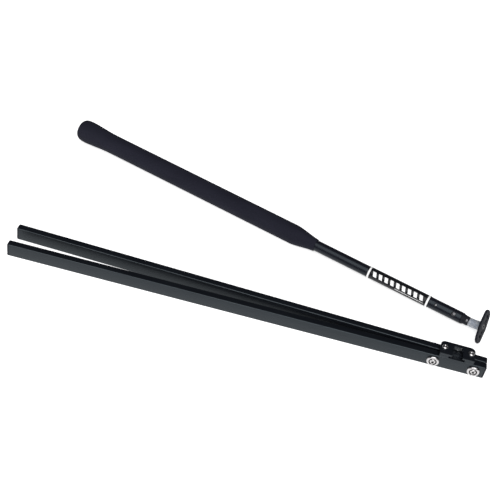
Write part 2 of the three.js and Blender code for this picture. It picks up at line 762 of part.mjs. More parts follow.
function flexibleNeck() {
  const foot = footFrame();
  const start = corner(ferruleFront + GAP, 0, 0);
  const end = corner(-GAP, 0, 0).applyMatrix4(foot);
  const section = new THREE.Shape().absarc(0, 0, NECK_RADIUS, 0, 2 * Math.PI);
  const body = new THREE.ExtrudeGeometry(section, {
    steps: 8,
    curveSegments: 10,
    bevelEnabled: false,
    extrudePath: new THREE.QuadraticBezierCurve3(start, neckMiddle, end),
  });
  const spigotEnd = ferruleFront - NECK_SPIGOT;
  const spigot = rod(NECK_SPIGOT_RADIUS, spigotEnd, ferruleFront + 2, ORIGIN, X);
  const hole = rod(FOOT_SCREW_RADIUS + HOLE_PLAY, -FOOT_SCREW_LENGTH - 1, 1, ORIGIN, X);
  const screwHole = hole.transform(foot.toArray());
  const neck = solid(body).add(spigot).subtract(screwHole);
  return neck.subtract(fastenerHole(neckPinX));
}

// A two-hole flange: a round middle that runs out to two smaller round ends.
function footOutline() {
  const middle = FOOT_WIDTH / 2;
  const centre = FOOT_LENGTH / 2 - FOOT_END_RADIUS;
  const lean = Math.asin((middle - FOOT_END_RADIUS) / centre);
  const quarter = Math.PI / 2;
  const shape = new THREE.Shape();
  shape.absarc(centre, 0, FOOT_END_RADIUS, lean - quarter, quarter - lean);
  shape.absarc(0, 0, middle, quarter - lean, quarter + lean);
  shape.absarc(-centre, 0, FOOT_END_RADIUS, quarter + lean, 3 * quarter - lean);
  shape.absarc(0, 0, middle, 3 * quarter - lean, 3 * quarter + lean);
  return shape;
}

function jointFoot() {
  const geometry = new THREE.ExtrudeGeometry(footOutline(), {
    depth: FOOT_THICKNESS,
    bevelEnabled: false,
    curveSegments: 6,
  });
  let foot = solid(geometry, frameAt(ORIGIN, Z, Y.clone().negate(), X));
  const through = FOOT_THICKNESS + 1;
  for (const end of [-1, 1]) {
    const hole = corner(0, 0, (end * FOOT_HOLE_SPACING) / 2);
    const detent = corner(0, 0, end * detentPlace);
    foot = foot.subtract(rod(FOOT_HOLE_RADIUS, -1, through, hole, X));
    foot = foot.subtract(rod(NOSE_RADIUS + HOLE_PLAY, -1, through, detent, X));
  }
  return foot.subtract(footScrewShape(HOLE_PLAY)).transform(footFrame().toArray());
}

// The countersunk screw from the foot's outer face into the neck, or with play, its hole.
function footScrewShape(play) {
  const shank = FOOT_SCREW_RADIUS + play;
  const head = FOOT_SCREW_HEAD + play;
  const reach = play > 0 ? 1 : 0;
  const top = FOOT_THICKNESS - FLUSH;
  const profile = [
    [0, -FOOT_SCREW_LENGTH],
    [shank, -FOOT_SCREW_LENGTH],
    [shank, FOOT_THICKNESS - 2],
    [head, top - 0.05],
    [head, top + reach],
    [0, top + reach],
  ];
  return turned(profile, ORIGIN, X, 16);
}

function footScrew() {
  const bottom = FOOT_THICKNESS - 1.6;
  const drive = hexagon(FOOT_SCREW_FLATS, bottom, FOOT_THICKNESS + 1, ORIGIN, X);
  return footScrewShape(0).subtract(drive).transform(footFrame().toArray());
}

// ---------------------------------------------------------------- assembly
const tiller = new THREE.Group();
root.add(tiller);
for (const [label, side] of SIDES) {
  piece(`${label}_arm`, arm(side), ANODISED, tiller);
  piece(`${label}_arm_rear_plug`, endPlug(side, false), NYLON, tiller);
  piece(`${label}_arm_front_plug`, endPlug(side, true), NYLON, tiller);
}
for (const [label, x] of [
  ["rear", rearBoltX],
  ["front", frontBoltX],
]) {
  piece(`${label}_bolt`, crossBolt(x), STAINLESS, tiller);
  piece(`${label}_cup_washer`, cupWasher(x), STAINLESS, tiller);
  piece(`${label}_flat_washer`, flatWasher(x), STAINLESS, tiller);
  piece(`${label}_lock_nut`, lockNut(x), STAINLESS, tiller);
}
piece("arm_spacer", armSpacer(), NYLON, tiller);
piece("bracket_base", bracketBase(), ANODISED, tiller);
piece("bracket_plate", bracketPlate(), ANODISED, tiller);
bracketScrewPlaces().forEach((place, index) => {
  piece(`bracket_screw_${index + 1}`, bracketScrew(place), STAINLESS, tiller);
});
baseRivetPlaces().forEach((place, index) => {
  piece(`base_rivet_${index + 1}`, baseRivet(place), ANODISED, tiller);
});
piece("catch_leaf_heel", leafHeel(), STAINLESS, tiller);
piece("catch_leaf_tongue", leafTongue(), STAINLESS, tiller);
piece("catch_nose", catchNose(), STAINLESS, tiller);
piece("catch_rivet", catchRivetShape(0), ANODISED, tiller);

// The grip rests on its flare and on the front of its straight part.
const extension = new THREE.Group();
const axisHeight = GRIP_FLARE_RADIUS / Math.cos(extensionPitch);
extension.position.set(
  EXTENSION_X,
  EXTENSION_Y,
  axisHeight + GRIP_FLARE_PLACE * Math.sin(extensionPitch),
);
extension.rotation.set(0, extensionPitch, EXTENSION_YAW, "ZYX");
root.add(extension);
const tubeFace = TUBE_RADIUS + SEAT;
const collarFace = collarRadius + SEAT;
piece("foam_grip", foamGrip(), FOAM, extension);
piece("grip_end_plug", gripEndPlug(), NYLON, extension);
piece("extension_tube", extensionTube(), ANODISED_TUBE, extension);
piece("label_band", labelBand(), LABEL, extension);
piece("neck_ferrule", neckFerrule(), NYLON, extension);
for (const [name, x, head, seat] of [
  ["ferrule_rivet", ferruleRivetX, FERRULE_RIVET_HEAD, tubeFace],
  ["ferrule_screw", ferruleScrewX, FERRULE_SCREW_HEAD, tubeFace],
  ["neck_pin", neckPinX, NECK_PIN_HEAD, collarFace],
]) {
  piece(name, radialFastener(x, head, seat), DARK_STEEL, extension);
}
piece("flexible_neck", flexibleNeck(), URETHANE, extension);
piece("joint_foot", jointFoot(), NYLON, extension);
piece("foot_screw", footScrew(), DARK_STEEL, extension);

// The origin is under the middle of the whole set, on the surface that it lies on.
root.updateMatrixWorld(true);
const bounds = new THREE.Box3().setFromObject(root, true);
const middle = bounds.getCenter(new THREE.Vector3());
root.position.set(-middle.x, -middle.y, -bounds.min.z);

export default root;
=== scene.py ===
"""A small-boat tiller and its tiller extension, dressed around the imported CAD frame.

Shapes are worked out in millimetres in the frame of what they belong to: the tiller, one of its
arms, the extension or the extension's foot. Each frame's matrix turns them into metres in the
row frame. The places come from the CAD frame, and the sizes repeat the CAD's driving dimensions.
Edges are eased more than the CAD's, and the larger departures from its shapes have a comment.
"""
import json
import math

import bmesh
import bpy
from mathutils import Matrix, Vector


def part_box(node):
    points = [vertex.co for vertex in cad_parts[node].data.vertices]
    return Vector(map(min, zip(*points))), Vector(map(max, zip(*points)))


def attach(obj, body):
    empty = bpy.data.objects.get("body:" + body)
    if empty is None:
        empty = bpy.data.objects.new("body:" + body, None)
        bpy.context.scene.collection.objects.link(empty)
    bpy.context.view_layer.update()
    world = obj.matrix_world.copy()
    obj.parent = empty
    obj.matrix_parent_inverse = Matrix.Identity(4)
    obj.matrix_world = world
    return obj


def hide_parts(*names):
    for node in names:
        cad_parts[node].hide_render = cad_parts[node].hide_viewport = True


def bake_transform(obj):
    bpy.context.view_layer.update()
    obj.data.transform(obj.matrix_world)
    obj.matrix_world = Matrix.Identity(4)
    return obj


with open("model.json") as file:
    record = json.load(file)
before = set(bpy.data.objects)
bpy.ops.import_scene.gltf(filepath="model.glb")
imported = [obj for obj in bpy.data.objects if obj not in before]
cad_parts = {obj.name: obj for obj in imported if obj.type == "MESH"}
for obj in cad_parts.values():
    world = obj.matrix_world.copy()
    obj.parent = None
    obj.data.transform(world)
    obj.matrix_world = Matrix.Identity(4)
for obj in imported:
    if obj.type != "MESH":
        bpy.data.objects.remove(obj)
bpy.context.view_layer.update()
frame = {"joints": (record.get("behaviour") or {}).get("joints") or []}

MM = 0.001
X, Y, Z = Vector((1, 0, 0)), Vector((0, 1, 0)), Vector((0, 0, 1))

# ------------------------------------------------------------------ the CAD's sizes, in mm
TILLER_LENGTH = 655
ARM_HEIGHT = 20
ARM_WIDTH = 10
ARM_WALL = 1.5
ARM_CORNER = 1.2
FORK_GAP = 24.6
TIP_GAP = 0.4
PLUG_CAP = 2.5
PLUG_LEG = 14

BOLT_RADIUS = 2.5
BOLT_HEAD_RADIUS = 4.7
BOLT_HEAD_INSET = 0.7  # the head is this much smaller than the CAD's, which opens a groove, darkened by painted shade on the washer's countersink
BOLT_TAIL = 1.5  # past the nut
BOLT_SOCKET = 3
BOLT_HEIGHT = 9.9
BOLTS = {"rear": 585.5, "front": 639.5}
CUP_WASHER_RADIUS = 8.15
FLAT_WASHER_RADIUS = 5.2
FLAT_WASHER_THICKNESS = 1
NUT_FLATS = 8
NUT_HEIGHT = 5
SPACER_RADIUS = 6

BRACKET_X = 613.5
BRACKET_LENGTH = 46
BRACKET_WIDTH = 23
BRACKET_CORNER = 6
BASE_BOTTOM = 20.1
FLOOR_TOP = 21.4
BASE_TOP = 25
PLATE_BOTTOM = 25.1
PLATE_TOP = 27.8
CHANNEL_WIDTH = 21.5
SLOT_WIDTH = 14.3
SLOT_BACK = 1.8
SCREW_SPACING = 35
SCREW_RADIUS = 2
SCREW_HEAD_RADIUS = 3.9
SCREW_HEAD_HEIGHT = 2.6
RIVET_RADIUS = 1.45
RIVET_SPACING = 13
RIVET_SPREAD = 0.8  # how far the head and the bulb stand out from the shank
RIVET_SINK = 0.9  # from the floor's top to where the shank starts to widen

LEAF_WIDTH = 9.5
LEAF_THICKNESS = 0.8
LEAF_MIDDLE = 25.8
LEAF_HEEL_END = 10.35
HINGE_Y = 7.2
HEEL_START = HINGE_Y + 0.15
CATCH_RIVET_Y = (HEEL_START + LEAF_HEEL_END) / 2
CATCH_RIVET_SINK = 0.7  # from the plate's top to where its head starts
NOSE_Y = 4.3
NOSE_RADIUS = 1.5

TUBE_RADIUS = 8
TUBE_WALL = 1.2
TUBE_START = 6
TUBE_END = 642
GRIP_RADIUS = 14.5
GRIP_FLARE_RADIUS = 17
GRIP_END = 414
GRIP_TAPER = 36
GRIP_FLARE_END = 70  # where the flare has run out into the straight part
LABEL_START = 498.5
LABEL_END = 594
LABEL_THICKNESS = 0.3
FERRULE_LEG = 46
COLLAR_RADIUS = 6.5
FERRULE_FRONT = 653.1
FERRULE_RIVET_X = TUBE_END - 38
FERRULE_SCREW_X = TUBE_END - 11
NECK_PIN_X = FERRULE_FRONT - 2.7
FASTENER_ROLL = math.radians(47.5)
FASTENER_DIRECTION = (0, -math.sin(FASTENER_ROLL), math.cos(FASTENER_ROLL))
FASTENER_RADIUS = 1.6

NECK_RADIUS = 6.2
NECK_LENGTH = 19.5
NECK_SPIGOT_RADIUS = 4
NECK_SPIGOT = 10
NECK_BEND_SHORT = math.radians(-6.9)
FOOT_LENGTH = 50
FOOT_WIDTH = 20
FOOT_END_RADIUS = 8
FOOT_THICKNESS = 3
FOOT_HOLE_RADIUS = 2.6
FOOT_HOLE_SPACING = 30
DETENT_PLACE = 9
FOOT_SCREW_RADIUS = 2
FOOT_SCREW_HEX = 2.5  # across the flats of its socket

GAP = 0.3  # between pieces that touch
SEAT = 0.1  # between flat faces that rest on each other
PLAY = 0.25  # a fastener in its hole, on the radius

ROUND = 96  # sides of a large turned piece
MEDIUM_ROUND = 64
SMALL_ROUND = 48
TINY_ROUND = 32

# ------------------------------------------------------------------ the photograph's view
CAMERA_TARGET = (310.2, 102.7, 10.5)  # in the tiller's frame, in mm
CAMERA_AZIMUTH = 5.21
CAMERA_ELEVATION = 42.23
CAMERA_ROLL = 11.56
CAMERA_DISTANCE = 1.43319  # in metres
CAMERA_LENS = 73.07
SENSOR_WIDTH = 36


# ------------------------------------------------------------------ frames
def axes(origin, x, y, z):
    """Matrix from millimetres along x, y and z to metres in the row frame."""
    turn = Matrix((x, y, z)).transposed()
    return Matrix.Translation(origin) @ turn.to_4x4() @ Matrix.Scale(MM, 4)


def middle(node):
    low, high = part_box(node)
    return (low + high) / 2


def shifted(matrix, x, y, z):
    return matrix @ Matrix.Translation((x, y, z))


def facing(matrix, x, y, z, direction):
    """A frame at a place whose own X axis points in the given direction."""
    turn = X.rotation_difference(Vector(direction)).to_matrix().to_4x4()
    return shifted(matrix, x, y, z) @ turn


bracket_middle = middle("bracket_base")
TILLER = axes((bracket_middle.x - BRACKET_X * MM, bracket_middle.y, 0), X, Y, Z)

fork_angle = math.atan((FORK_GAP - TIP_GAP) / 2 / TILLER_LENGTH)


def inner_face(x):
    return TIP_GAP / 2 + (TILLER_LENGTH - x) * math.tan(fork_angle)


def outer_face(x):
    return inner_face(x) + ARM_WIDTH / math.cos(fork_angle)


def arm_frame(side):
    """X along the arm with 0 at the tiller's front end, Y across it."""
    centre = (inner_face(TILLER_LENGTH) + outer_face(TILLER_LENGTH)) / 2
    turn = Matrix.Rotation(-side * fork_angle, 4, "Z")
    return shifted(TILLER, TILLER_LENGTH, side * centre, 0) @ turn


# The grip's end plug and the label are both round about the extension's axis.
plug_along = 10.3  # the end plug's middle, from the extension's rear end
plug_middle, label_middle = middle("grip_end_plug"), middle("label_band")
along = (label_middle - plug_middle).normalized()
across = Z.cross(along).normalized()
EXTENSION = axes(plug_middle - along * plug_along * MM, along, across, along.cross(across))

# The foot's X axis points out of its outer face, Y across it and Z along it.
neck_joints = {joint["name"]: joint for joint in frame["joints"]}
long_axis = Vector(neck_joints["neck_bend_long"]["axis"]).normalized()
foot_across = Vector(neck_joints["neck_bend_short"]["axis"]).normalized()
foot_along = Matrix.Rotation(NECK_BEND_SHORT, 3, foot_across) @ long_axis
foot_out = foot_across.cross(foot_along)
neck_start = EXTENSION @ Vector((FERRULE_FRONT + GAP, 0, 0))
neck_middle = EXTENSION @ Vector((FERRULE_FRONT + NECK_LENGTH / 2, 0, 0))
FOOT = axes(neck_middle + foot_out * NECK_LENGTH / 2 * MM, foot_out, foot_across, foot_along)
neck_end = FOOT @ Vector((-GAP, 0, 0))


# ------------------------------------------------------------------ mesh building
SQUARE = [(-1, -1), (1, -1), (1, 1), (-1, 1)]
WELD_DISTANCE = 1e-4
LEAST_RADIUS = 1e-3  # a point on the axis of a turned piece


def finished(name, mesh_data, matrix, sharp=35):
    """A bmesh in local millimetres as an object in the row frame, with its local coordinates."""
    bmesh.ops.remove_doubles(mesh_data, verts=mesh_data.verts, dist=WELD_DISTANCE)
    bmesh.ops.recalc_face_normals(mesh_data, faces=mesh_data.faces)
    mesh = bpy.data.meshes.new(name)
    mesh_data.to_mesh(mesh)
    mesh_data.free()
    made = bpy.data.objects.new(name, mesh)
    bpy.context.scene.collection.objects.link(made)
    made["sharp"] = sharp
    made["frame"] = [value for row in matrix for value in row]
    return made


def stored_frame(made):
    """The matrix that finished() kept on the object."""
    numbers = list(made["frame"])
    return Matrix([numbers[row * 4 : row * 4 + 4] for row in range(4)])


def to_row_frame(made):
    """Stores each vertex's local place, then moves the mesh into the row frame."""
    mesh = made.data
    local = mesh.attributes.new("local", "FLOAT_VECTOR", "POINT")
    for vertex, value in zip(mesh.vertices, local.data):
        value.vector = vertex.co
    mesh.transform(stored_frame(made))
    mesh.shade_smooth()
    mesh.set_sharp_from_angle(angle=math.radians(made["sharp"]))
    del made["frame"], made["sharp"]


def loft(name, loops, matrix, closed=False, sharp=35):
    """Joins loops of the same number of points, and caps the ends unless the run is closed."""
    build = bmesh.new()
    rings = [[build.verts.new(point) for point in loop] for loop in loops]
    pairs = list(zip(rings, rings[1:]))
    if closed:
        pairs.append((rings[-1], rings[0]))
    for low, high in pairs:
        for index in range(len(low)):
            after = (index + 1) % len(low)
            build.faces.new((low[index], low[after], high[after], high[index]))
    if not closed:
        build.faces.new(rings[0][::-1])
        build.faces.new(rings[-1])
    return finished(name, build, matrix, sharp)


def lathe(name, profile, matrix, segments=SMALL_ROUND, closed=False, sharp=35):
    """Turns a profile of (along, radius) points about the local X axis."""
    loops = []
    for x, radius in profile:
        loop = []
        for step in range(segments):
            angle = 2 * math.pi * step / segments
            reach = max(radius, LEAST_RADIUS)
            loop.append(Vector((x, reach * math.cos(angle), reach * math.sin(angle))))
        loops.append(loop)
    return loft(name, loops, matrix, closed, sharp)


def softened(points, radius, steps=4, closed=False):
    """The same outline with its corners rounded, each by no more than its edges allow."""
    most = 0.45  # share of an edge that one rounding may take
    points = [Vector(point) for point in points]
    count = len(points)
    made = []
    for index, point in enumerate(points):
        if not closed and index in (0, count - 1):
            made.append(point)
            continue
        before, after = points[index - 1], points[(index + 1) % count]
        back, ahead = before - point, after - point
        reach = min(radius, back.length * most, ahead.length * most)
        start = point + back.normalized() * reach
        end = point + ahead.normalized() * reach
        for step in range(steps + 1):
            share = step / steps
            made.append(start.lerp(point, share).lerp(point.lerp(end, share), share))
    return made


def smoothed(points):
    """A Catmull-Rom curve through the points."""
    steps = 6
    points = [Vector(point) for point in points]
    ends = [2 * points[0] - points[1], *points, 2 * points[-1] - points[-2]]
    made = []
    for a, b, c, d in zip(ends, ends[1:], ends[2:], ends[3:]):
        for step in range(steps):
            t = step / steps
            made.append(
                0.5
                * (
                    2 * b
                    + (c - a) * t
                    + (2 * a - 5 * b + 4 * c - d) * t**2
                    + (3 * b - a - 3 * c + d) * t**3
                )
            )
    made.append(points[-1])
    return made


def dome(start, rise, radius, steps, power=1):
    """A quarter of an ellipse, from its rim to the axis, as (along, radius) points."""
    points = []
    for step in range(steps + 1):
        angle = math.pi / 2 * step / steps
        points.append((start + rise * math.sin(angle), radius * math.cos(angle) ** power))
    return points


def ring(name, inner, outer, start, end, matrix, segments=SMALL_ROUND, rounding=0.2):
    corners = [(start, inner), (start, outer), (end, outer), (end, inner)]
    return lathe(name, softened(corners, rounding, 3, closed=True), matrix, segments, closed=True)


def rounded_box(low, high, radii, steps=8):
    """A rectangle from its low corner to its high one, with a radius at each corner."""
    (x0, y0), (x1, y1) = low, high
    r0, r1, r2, r3 = radii
    centres = [
        (x0 + r0, y0 + r0, r0, 180),
        (x1 - r1, y0 + r1, r1, 270),
        (x1 - r2, y1 - r2, r2, 0),
        (x0 + r3, y1 - r3, r3, 90),
    ]
    made = []
    for x, y, radius, first in centres:
        for step in range(steps + 1):
            angle = math.radians(first + 90 * step / steps)
            made.append((x + radius * math.cos(angle), y + radius * math.sin(angle)))
    return made


def flat_loops(outline, levels, lift):
    """One loop for each level, made of the outline's points by the function lift."""
    return [[lift(a, b, level) for a, b in outline] for level in levels]


def slab(name, outline, bottom, top, matrix):
    loops = flat_loops(outline, (bottom, top), lambda x, y, z: Vector((x, y, z)))
    return loft(name, loops, matrix)


def block(low, high):
    """A box between two corners in the tiller's frame, to cut with."""
    (x0, y0, z0), (x1, y1, z1) = low, high
    outline = [(x0, y0), (x1, y0), (x1, y1), (x0, y1)]
    return slab("cutter", outline, z0, z1, TILLER)


def peg(radius, start, end, matrix, segments=SMALL_ROUND):
    return lathe("cutter", [(start, 0), (start, radius), (end, radius), (end, 0)], matrix, segments)


def settle(made):
    """Applies the object's modifiers to its mesh."""
    graph = bpy.context.evaluated_depsgraph_get()
    mesh = bpy.data.meshes.new_from_object(made.evaluated_get(graph))
    made.modifiers.clear()
    made.data = mesh


def combined(made, others, operation):
    """Cuts the other shapes from this one, joins them to it or keeps what is common."""
    target = stored_frame(made)
    for other in others:
        other.data.transform(target.inverted() @ stored_frame(other))
        step = made.modifiers.new("combine", "BOOLEAN")
        step.operation = operation
        step.solver = "EXACT"
        step.object = other
        settle(made)
        bpy.data.objects.remove(other)
    return made


def cut(made, *others):
    return combined(made, others, "DIFFERENCE")


def eased(made, width, segments=3, angle=30):
    """Rounds every edge sharper than an angle."""
    step = made.modifiers.new("ease", "BEVEL")
    step.width = width
    step.segments = segments
    step.limit_method = "ANGLE"
    step.angle_limit = math.radians(angle)
    step.miter_outer = "MITER_ARC"
    step.use_clamp_overlap = True
    settle(made)
    return made


def put(made, body, slot, material, *nodes):
    """Places a piece on its body, with its material, in place of its CAD nodes."""
    to_row_frame(made)
    made.data.materials.clear()
    made.data.materials.append(material)
    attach(made, body)
    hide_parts(*nodes)
    return made


# ------------------------------------------------------------------ materials
class Paint:
    """A node material with its Principled shader, and short ways to add nodes to it."""

    def __init__(self, name, **settings):
        self.material = bpy.data.materials.new(name)
        self.material.use_nodes = True
        self.tree = self.material.node_tree
        self.shader = self.tree.nodes["Principled BSDF"]
        for socket, value in settings.items():
            self.shader.inputs[socket.replace("_", " ")].default_value = value

    def node(self, kind, inputs=(), **settings):
        made = self.tree.nodes.new(kind)
        for name, value in settings.items():
            setattr(made, name, value)
        for socket, value in dict(inputs).items():
            self.feed(made, socket, value)
        return made

    def feed(self, node, socket, value):
        if isinstance(value, bpy.types.NodeSocket):
            self.tree.links.new(value, node.inputs[socket])
        else:
            node.inputs[socket].default_value = value

    def local(self):
        """Each point's place in its piece's own frame, in millimetres."""
        return self.node("ShaderNodeAttribute", attribute_name="local").outputs["Vector"]

    def row_mm(self):
        """Each point's place in the row frame, in millimetres."""
        place = self.node("ShaderNodeTexCoord").outputs["Object"]
        grown = {0: place, 3: 1 / MM}
        return self.node("ShaderNodeVectorMath", grown, operation="SCALE").outputs[0]

    def stretched(self, vector, scale):
        both = {0: vector, 1: scale}
        return self.node("ShaderNodeVectorMath", both, operation="MULTIPLY").outputs[0]

    def noise(self, vector, scale, detail=3, roughness=0.5):
        inputs = {"Vector": vector, "Scale": scale, "Detail": detail, "Roughness": roughness}
        return self.node("ShaderNodeTexNoise", inputs).outputs[0]

    def cells(self, vector, scale):
        inputs = {"Vector": vector, "Scale": scale}
        return self.node("ShaderNodeTexVoronoi", inputs).outputs["Distance"]

    def math(self, operation, *values):
        return self.node("ShaderNodeMath", dict(enumerate(values)), operation=operation).outputs[0]

    def ranged(self, value, low, high, to_low=0.0, to_high=1.0):
        inputs = {0: value, 1: low, 2: high, 3: to_low, 4: to_high}
        return self.node("ShaderNodeMapRange", inputs).outputs[0]

    def mixed(self, factor, first, second):
        blend = self.node("ShaderNodeMix", data_type="RGBA")
        self.feed(blend, "Factor", factor)
        self.feed(blend, 6, (*first, 1) if isinstance(first, tuple) else first)
        self.feed(blend, 7, (*second, 1) if isinstance(second, tuple) else second)
        return blend.outputs[2]

    def colour(self, value):
        self.feed(self.shader, "Base Color", value)

    def rough(self, value):
        self.feed(self.shader, "Roughness", value)

    def bump(self, height, strength, distance):
        inputs = {"Height": height, "Strength": strength, "Distance": distance}
        made = self.node("ShaderNodeBump", inputs)
        self.feed(self.shader, "Normal", made.outputs[0])
        return made


def anodised(name, dark, light, roughness, gloss=1.42):
    """Black anodised aluminium: drawn lengthwise lines, cloudy dye and a few fine scratches."""
    paint = Paint(name, IOR=gloss, Specular_Tint=(0.78, 0.92, 1, 1))
    place = paint.local()
    lines = paint.noise(paint.stretched(place, (0.004, 1.6, 1.6)), 1.0, 4, 0.6)
    cloud = paint.noise(paint.stretched(place, (0.02, 0.1, 0.1)), 1.0, 3)
    scratch = paint.noise(paint.stretched(place, (0.05, 2.4, 2.4)), 1.0, 5, 0.7)
    marks = paint.ranged(scratch, 0.68, 0.76)
    dyed = paint.mixed(paint.ranged(cloud, 0.3, 0.7), dark, light)
    worn = tuple(channel * 4 + 0.02 for channel in light)
    paint.colour(paint.mixed(paint.math("MULTIPLY", marks, 0.35), dyed, worn))
    paint.rough(paint.ranged(lines, 0.25, 0.75, roughness - 0.06, roughness + 0.08))
    paint.bump(lines, 0.12, 0.00006)
    return paint


def arm_finish():
    """The anodising of the box tubes, rubbed a little lighter along their corners."""
    paint = anodised("anodised_beams", (0.0025, 0.003, 0.005), (0.0045, 0.0055, 0.008), 0.3)
    place = paint.node("ShaderNodeSeparateXYZ", {0: paint.local()})
    side = paint.math("ABSOLUTE", place.outputs[1])
    height = paint.math("ABSOLUTE", paint.math("SUBTRACT", place.outputs[2], ARM_HEIGHT / 2))
    near_side = paint.ranged(side, ARM_WIDTH / 2 - 0.8, ARM_WIDTH / 2 - 0.2)
    near_top = paint.ranged(height, ARM_HEIGHT / 2 - 0.8, ARM_HEIGHT / 2 - 0.2)
    patchy = paint.noise(paint.stretched(paint.local(), (0.03, 0.5, 0.5)), 1.0, 4)
    rub = paint.math("MULTIPLY", near_side, near_top)
    rub = paint.math("MULTIPLY", rub, paint.ranged(patchy, 0.4, 0.65, 0.15, 0.6))
    base = paint.shader.inputs["Base Color"].links[0].from_socket
    paint.colour(paint.mixed(rub, base, (0.06, 0.063, 0.068)))
    return paint.material


def nylon():
    """Moulded black nylon with a fine spark-eroded grain."""
    paint = Paint("moulded_nylon", IOR=1.22)
    place = paint.row_mm()
    grain = paint.noise(place, 3.2, 3, 0.6)
    cloud = paint.noise(place, 0.12, 2)
    dark, light = (0.006, 0.0065, 0.010), (0.010, 0.011, 0.016)
    paint.colour(paint.mixed(paint.ranged(cloud, 0.3, 0.7), dark, light))
    paint.rough(paint.ranged(grain, 0.3, 0.7, 0.5, 0.66))
    paint.bump(grain, 0.25, 0.00012)
    return paint.material


def steel(name, turned, dark, light, painted_shade_within=0):
    """Steel. Turned pieces show fine rings, and may have painted shade, a dark colour in place of the
    shadow in a recess, within a radius of their axis.
    """
    paint = Paint(name, Metallic=1.0)
    place = paint.local()
    if turned:
        parts = paint.node("ShaderNodeSeparateXYZ", {0: place})
        squares = [paint.math("POWER", part, 2.0) for part in parts.outputs[1:3]]
        radius = paint.math("SQRT", paint.math("ADD", *squares))
        flat = paint.node("ShaderNodeCombineXYZ", {0: radius, 1: parts.outputs[0]})
        lines = paint.noise(flat.outputs[0], 5.0, 3, 0.7)
    else:
        lines = paint.noise(paint.stretched(place, (0.15, 4.0, 4.0)), 1.0, 4)
    smear = paint.noise(place, 0.6, 3)
    tone = paint.mixed(paint.ranged(smear, 0.3, 0.7), dark, light)
    if painted_shade_within:
        # Painted shade: the colour goes dark within this radius of the axis, standing in for the shadow
        # in a socket or countersink.
        painted_shade_mask = paint.math("LESS_THAN", radius, painted_shade_within)
        shade_strength, shade_colour = 0.93, (0.01, 0.01, 0.01)
        tone = paint.mixed(paint.math("MULTIPLY", painted_shade_mask, shade_strength), tone, shade_colour)
    paint.colour(tone)
    paint.rough(paint.ranged(lines, 0.3, 0.7, 0.16, 0.32))
    paint.bump(lines, 0.1, 0.00004)
    return paint.material


def foam():
    """Closed-cell foam with a matt skin of fine pores, slightly blue."""
    paint = Paint("grip_foam", IOR=1.25)
    place = paint.local()
    pores = paint.cells(place, 1.5)
    grain = paint.noise(place, 1.1, 5, 0.65)
    cloud = paint.noise(paint.stretched(place, (0.02, 0.08, 0.08)), 1.0, 3)
    dark, light = (0.0075, 0.0078, 0.0145), (0.0105, 0.0108, 0.019)
    pore = (0.004, 0.004, 0.008)
    tone = paint.mixed(paint.ranged(cloud, 0.3, 0.7), dark, light)
    pitted = paint.ranged(pores, 0.02, 0.3)
    paint.colour(paint.mixed(pitted, pore, tone))
    paint.rough(paint.ranged(grain, 0.3, 0.7, 0.78, 0.94))
    height = paint.math("ADD", paint.math("MULTIPLY", pitted, 0.5), grain)
    paint.bump(height, 0.45, 0.0002)
    return paint.material


def urethane():
    """Milky urethane, a little cloudy, with faint flow lines round the rod."""
    paint = Paint(
        "neck_urethane",
        IOR=1.5,
        Subsurface_Weight=0.35,
        Subsurface_Scale=0.003,
        Subsurface_Radius=(1.0, 0.95, 0.9),
    )
    place = paint.row_mm()
    cloud = paint.noise(place, 0.25, 3)
    streak = paint.noise(paint.stretched(place, (0.9, 0.25, 0.25)), 1.0, 3)
    dark, light = (0.19, 0.215, 0.26), (0.29, 0.3, 0.32)
    paint.colour(paint.mixed(paint.ranged(cloud, 0.35, 0.65), dark, light))
    paint.rough(paint.ranged(streak, 0.3, 0.7, 0.22, 0.4))
    paint.bump(streak, 0.15, 0.0002)
    return paint.material


def label_print():
    """A black vinyl label with plain white marks: end lines, a row of bars and a thin line."""
    paint = Paint("label_print", IOR=1.3)
    radius = TUBE_RADIUS + SEAT + LABEL_THICKNESS
    parts = paint.node("ShaderNodeSeparateXYZ", {0: paint.local()}).outputs
    # The angle round the tube from the side that faces the same way as the fasteners.
    sine, cosine = math.sin(FASTENER_ROLL), math.cos(FASTENER_ROLL)

    def turned(share_y, share_z):
        part_y = paint.math("MULTIPLY", parts[1], share_y)
        return paint.math("ADD", part_y, paint.math("MULTIPLY", parts[2], share_z))

    out = turned(-sine, cosine)
    side = turned(cosine, sine)
    round_mm = paint.math("MULTIPLY", paint.math("ARCTAN2", side, out), radius)
    along_mm = parts[0]

    def within(value, low, high):
        above = paint.math("GREATER_THAN", value, low)
        return paint.math("MULTIPLY", above, paint.math("LESS_THAN", value, high))

    line = 2.6
    margin = 1.2
    ends = paint.math(
        "ADD",
        within(along_mm, LABEL_START + margin, LABEL_START + margin + line),
        within(along_mm, LABEL_END - margin - line, LABEL_END - margin),
    )
    pitch = 9.0
    bar = 0.56  # share of the pitch
    bar_half_height = 3.6
    lean = 0.35
    rule_low, rule_high = -6.6, -5.9
    rule_inset = 36
    ink_black, ink_white = (0.006, 0.006, 0.008), (0.8, 0.8, 0.8)
    first, last = LABEL_START + 9.0, LABEL_END - 7.0
    slant = paint.math("ADD", along_mm, paint.math("MULTIPLY", round_mm, lean))
    cycle = paint.math("FRACT", paint.math("DIVIDE", paint.math("SUBTRACT", slant, first), pitch))
    bars = paint.math("MULTIPLY", paint.math("LESS_THAN", cycle, bar), within(slant, first, last))
    bars = paint.math("MULTIPLY", bars, within(round_mm, -bar_half_height, bar_half_height))
    rule_length = within(along_mm, first + rule_inset, last)
    rule = paint.math("MULTIPLY", within(round_mm, rule_low, rule_high), rule_length)
    marks = paint.math("ADD", paint.math("ADD", ends, bars), rule)
    ink = paint.ranged(paint.noise(paint.local(), 0.8, 4), 0.2, 0.4, 0.86, 1.0)
    paint.colour(paint.mixed(paint.math("MULTIPLY", marks, ink), ink_black, ink_white))
    wipe = paint.noise(paint.stretched(paint.local(), (0.05, 0.5, 0.5)), 1.0, 3)
    paint.rough(paint.ranged(wipe, 0.3, 0.7, 0.2, 0.34))
    return paint.material


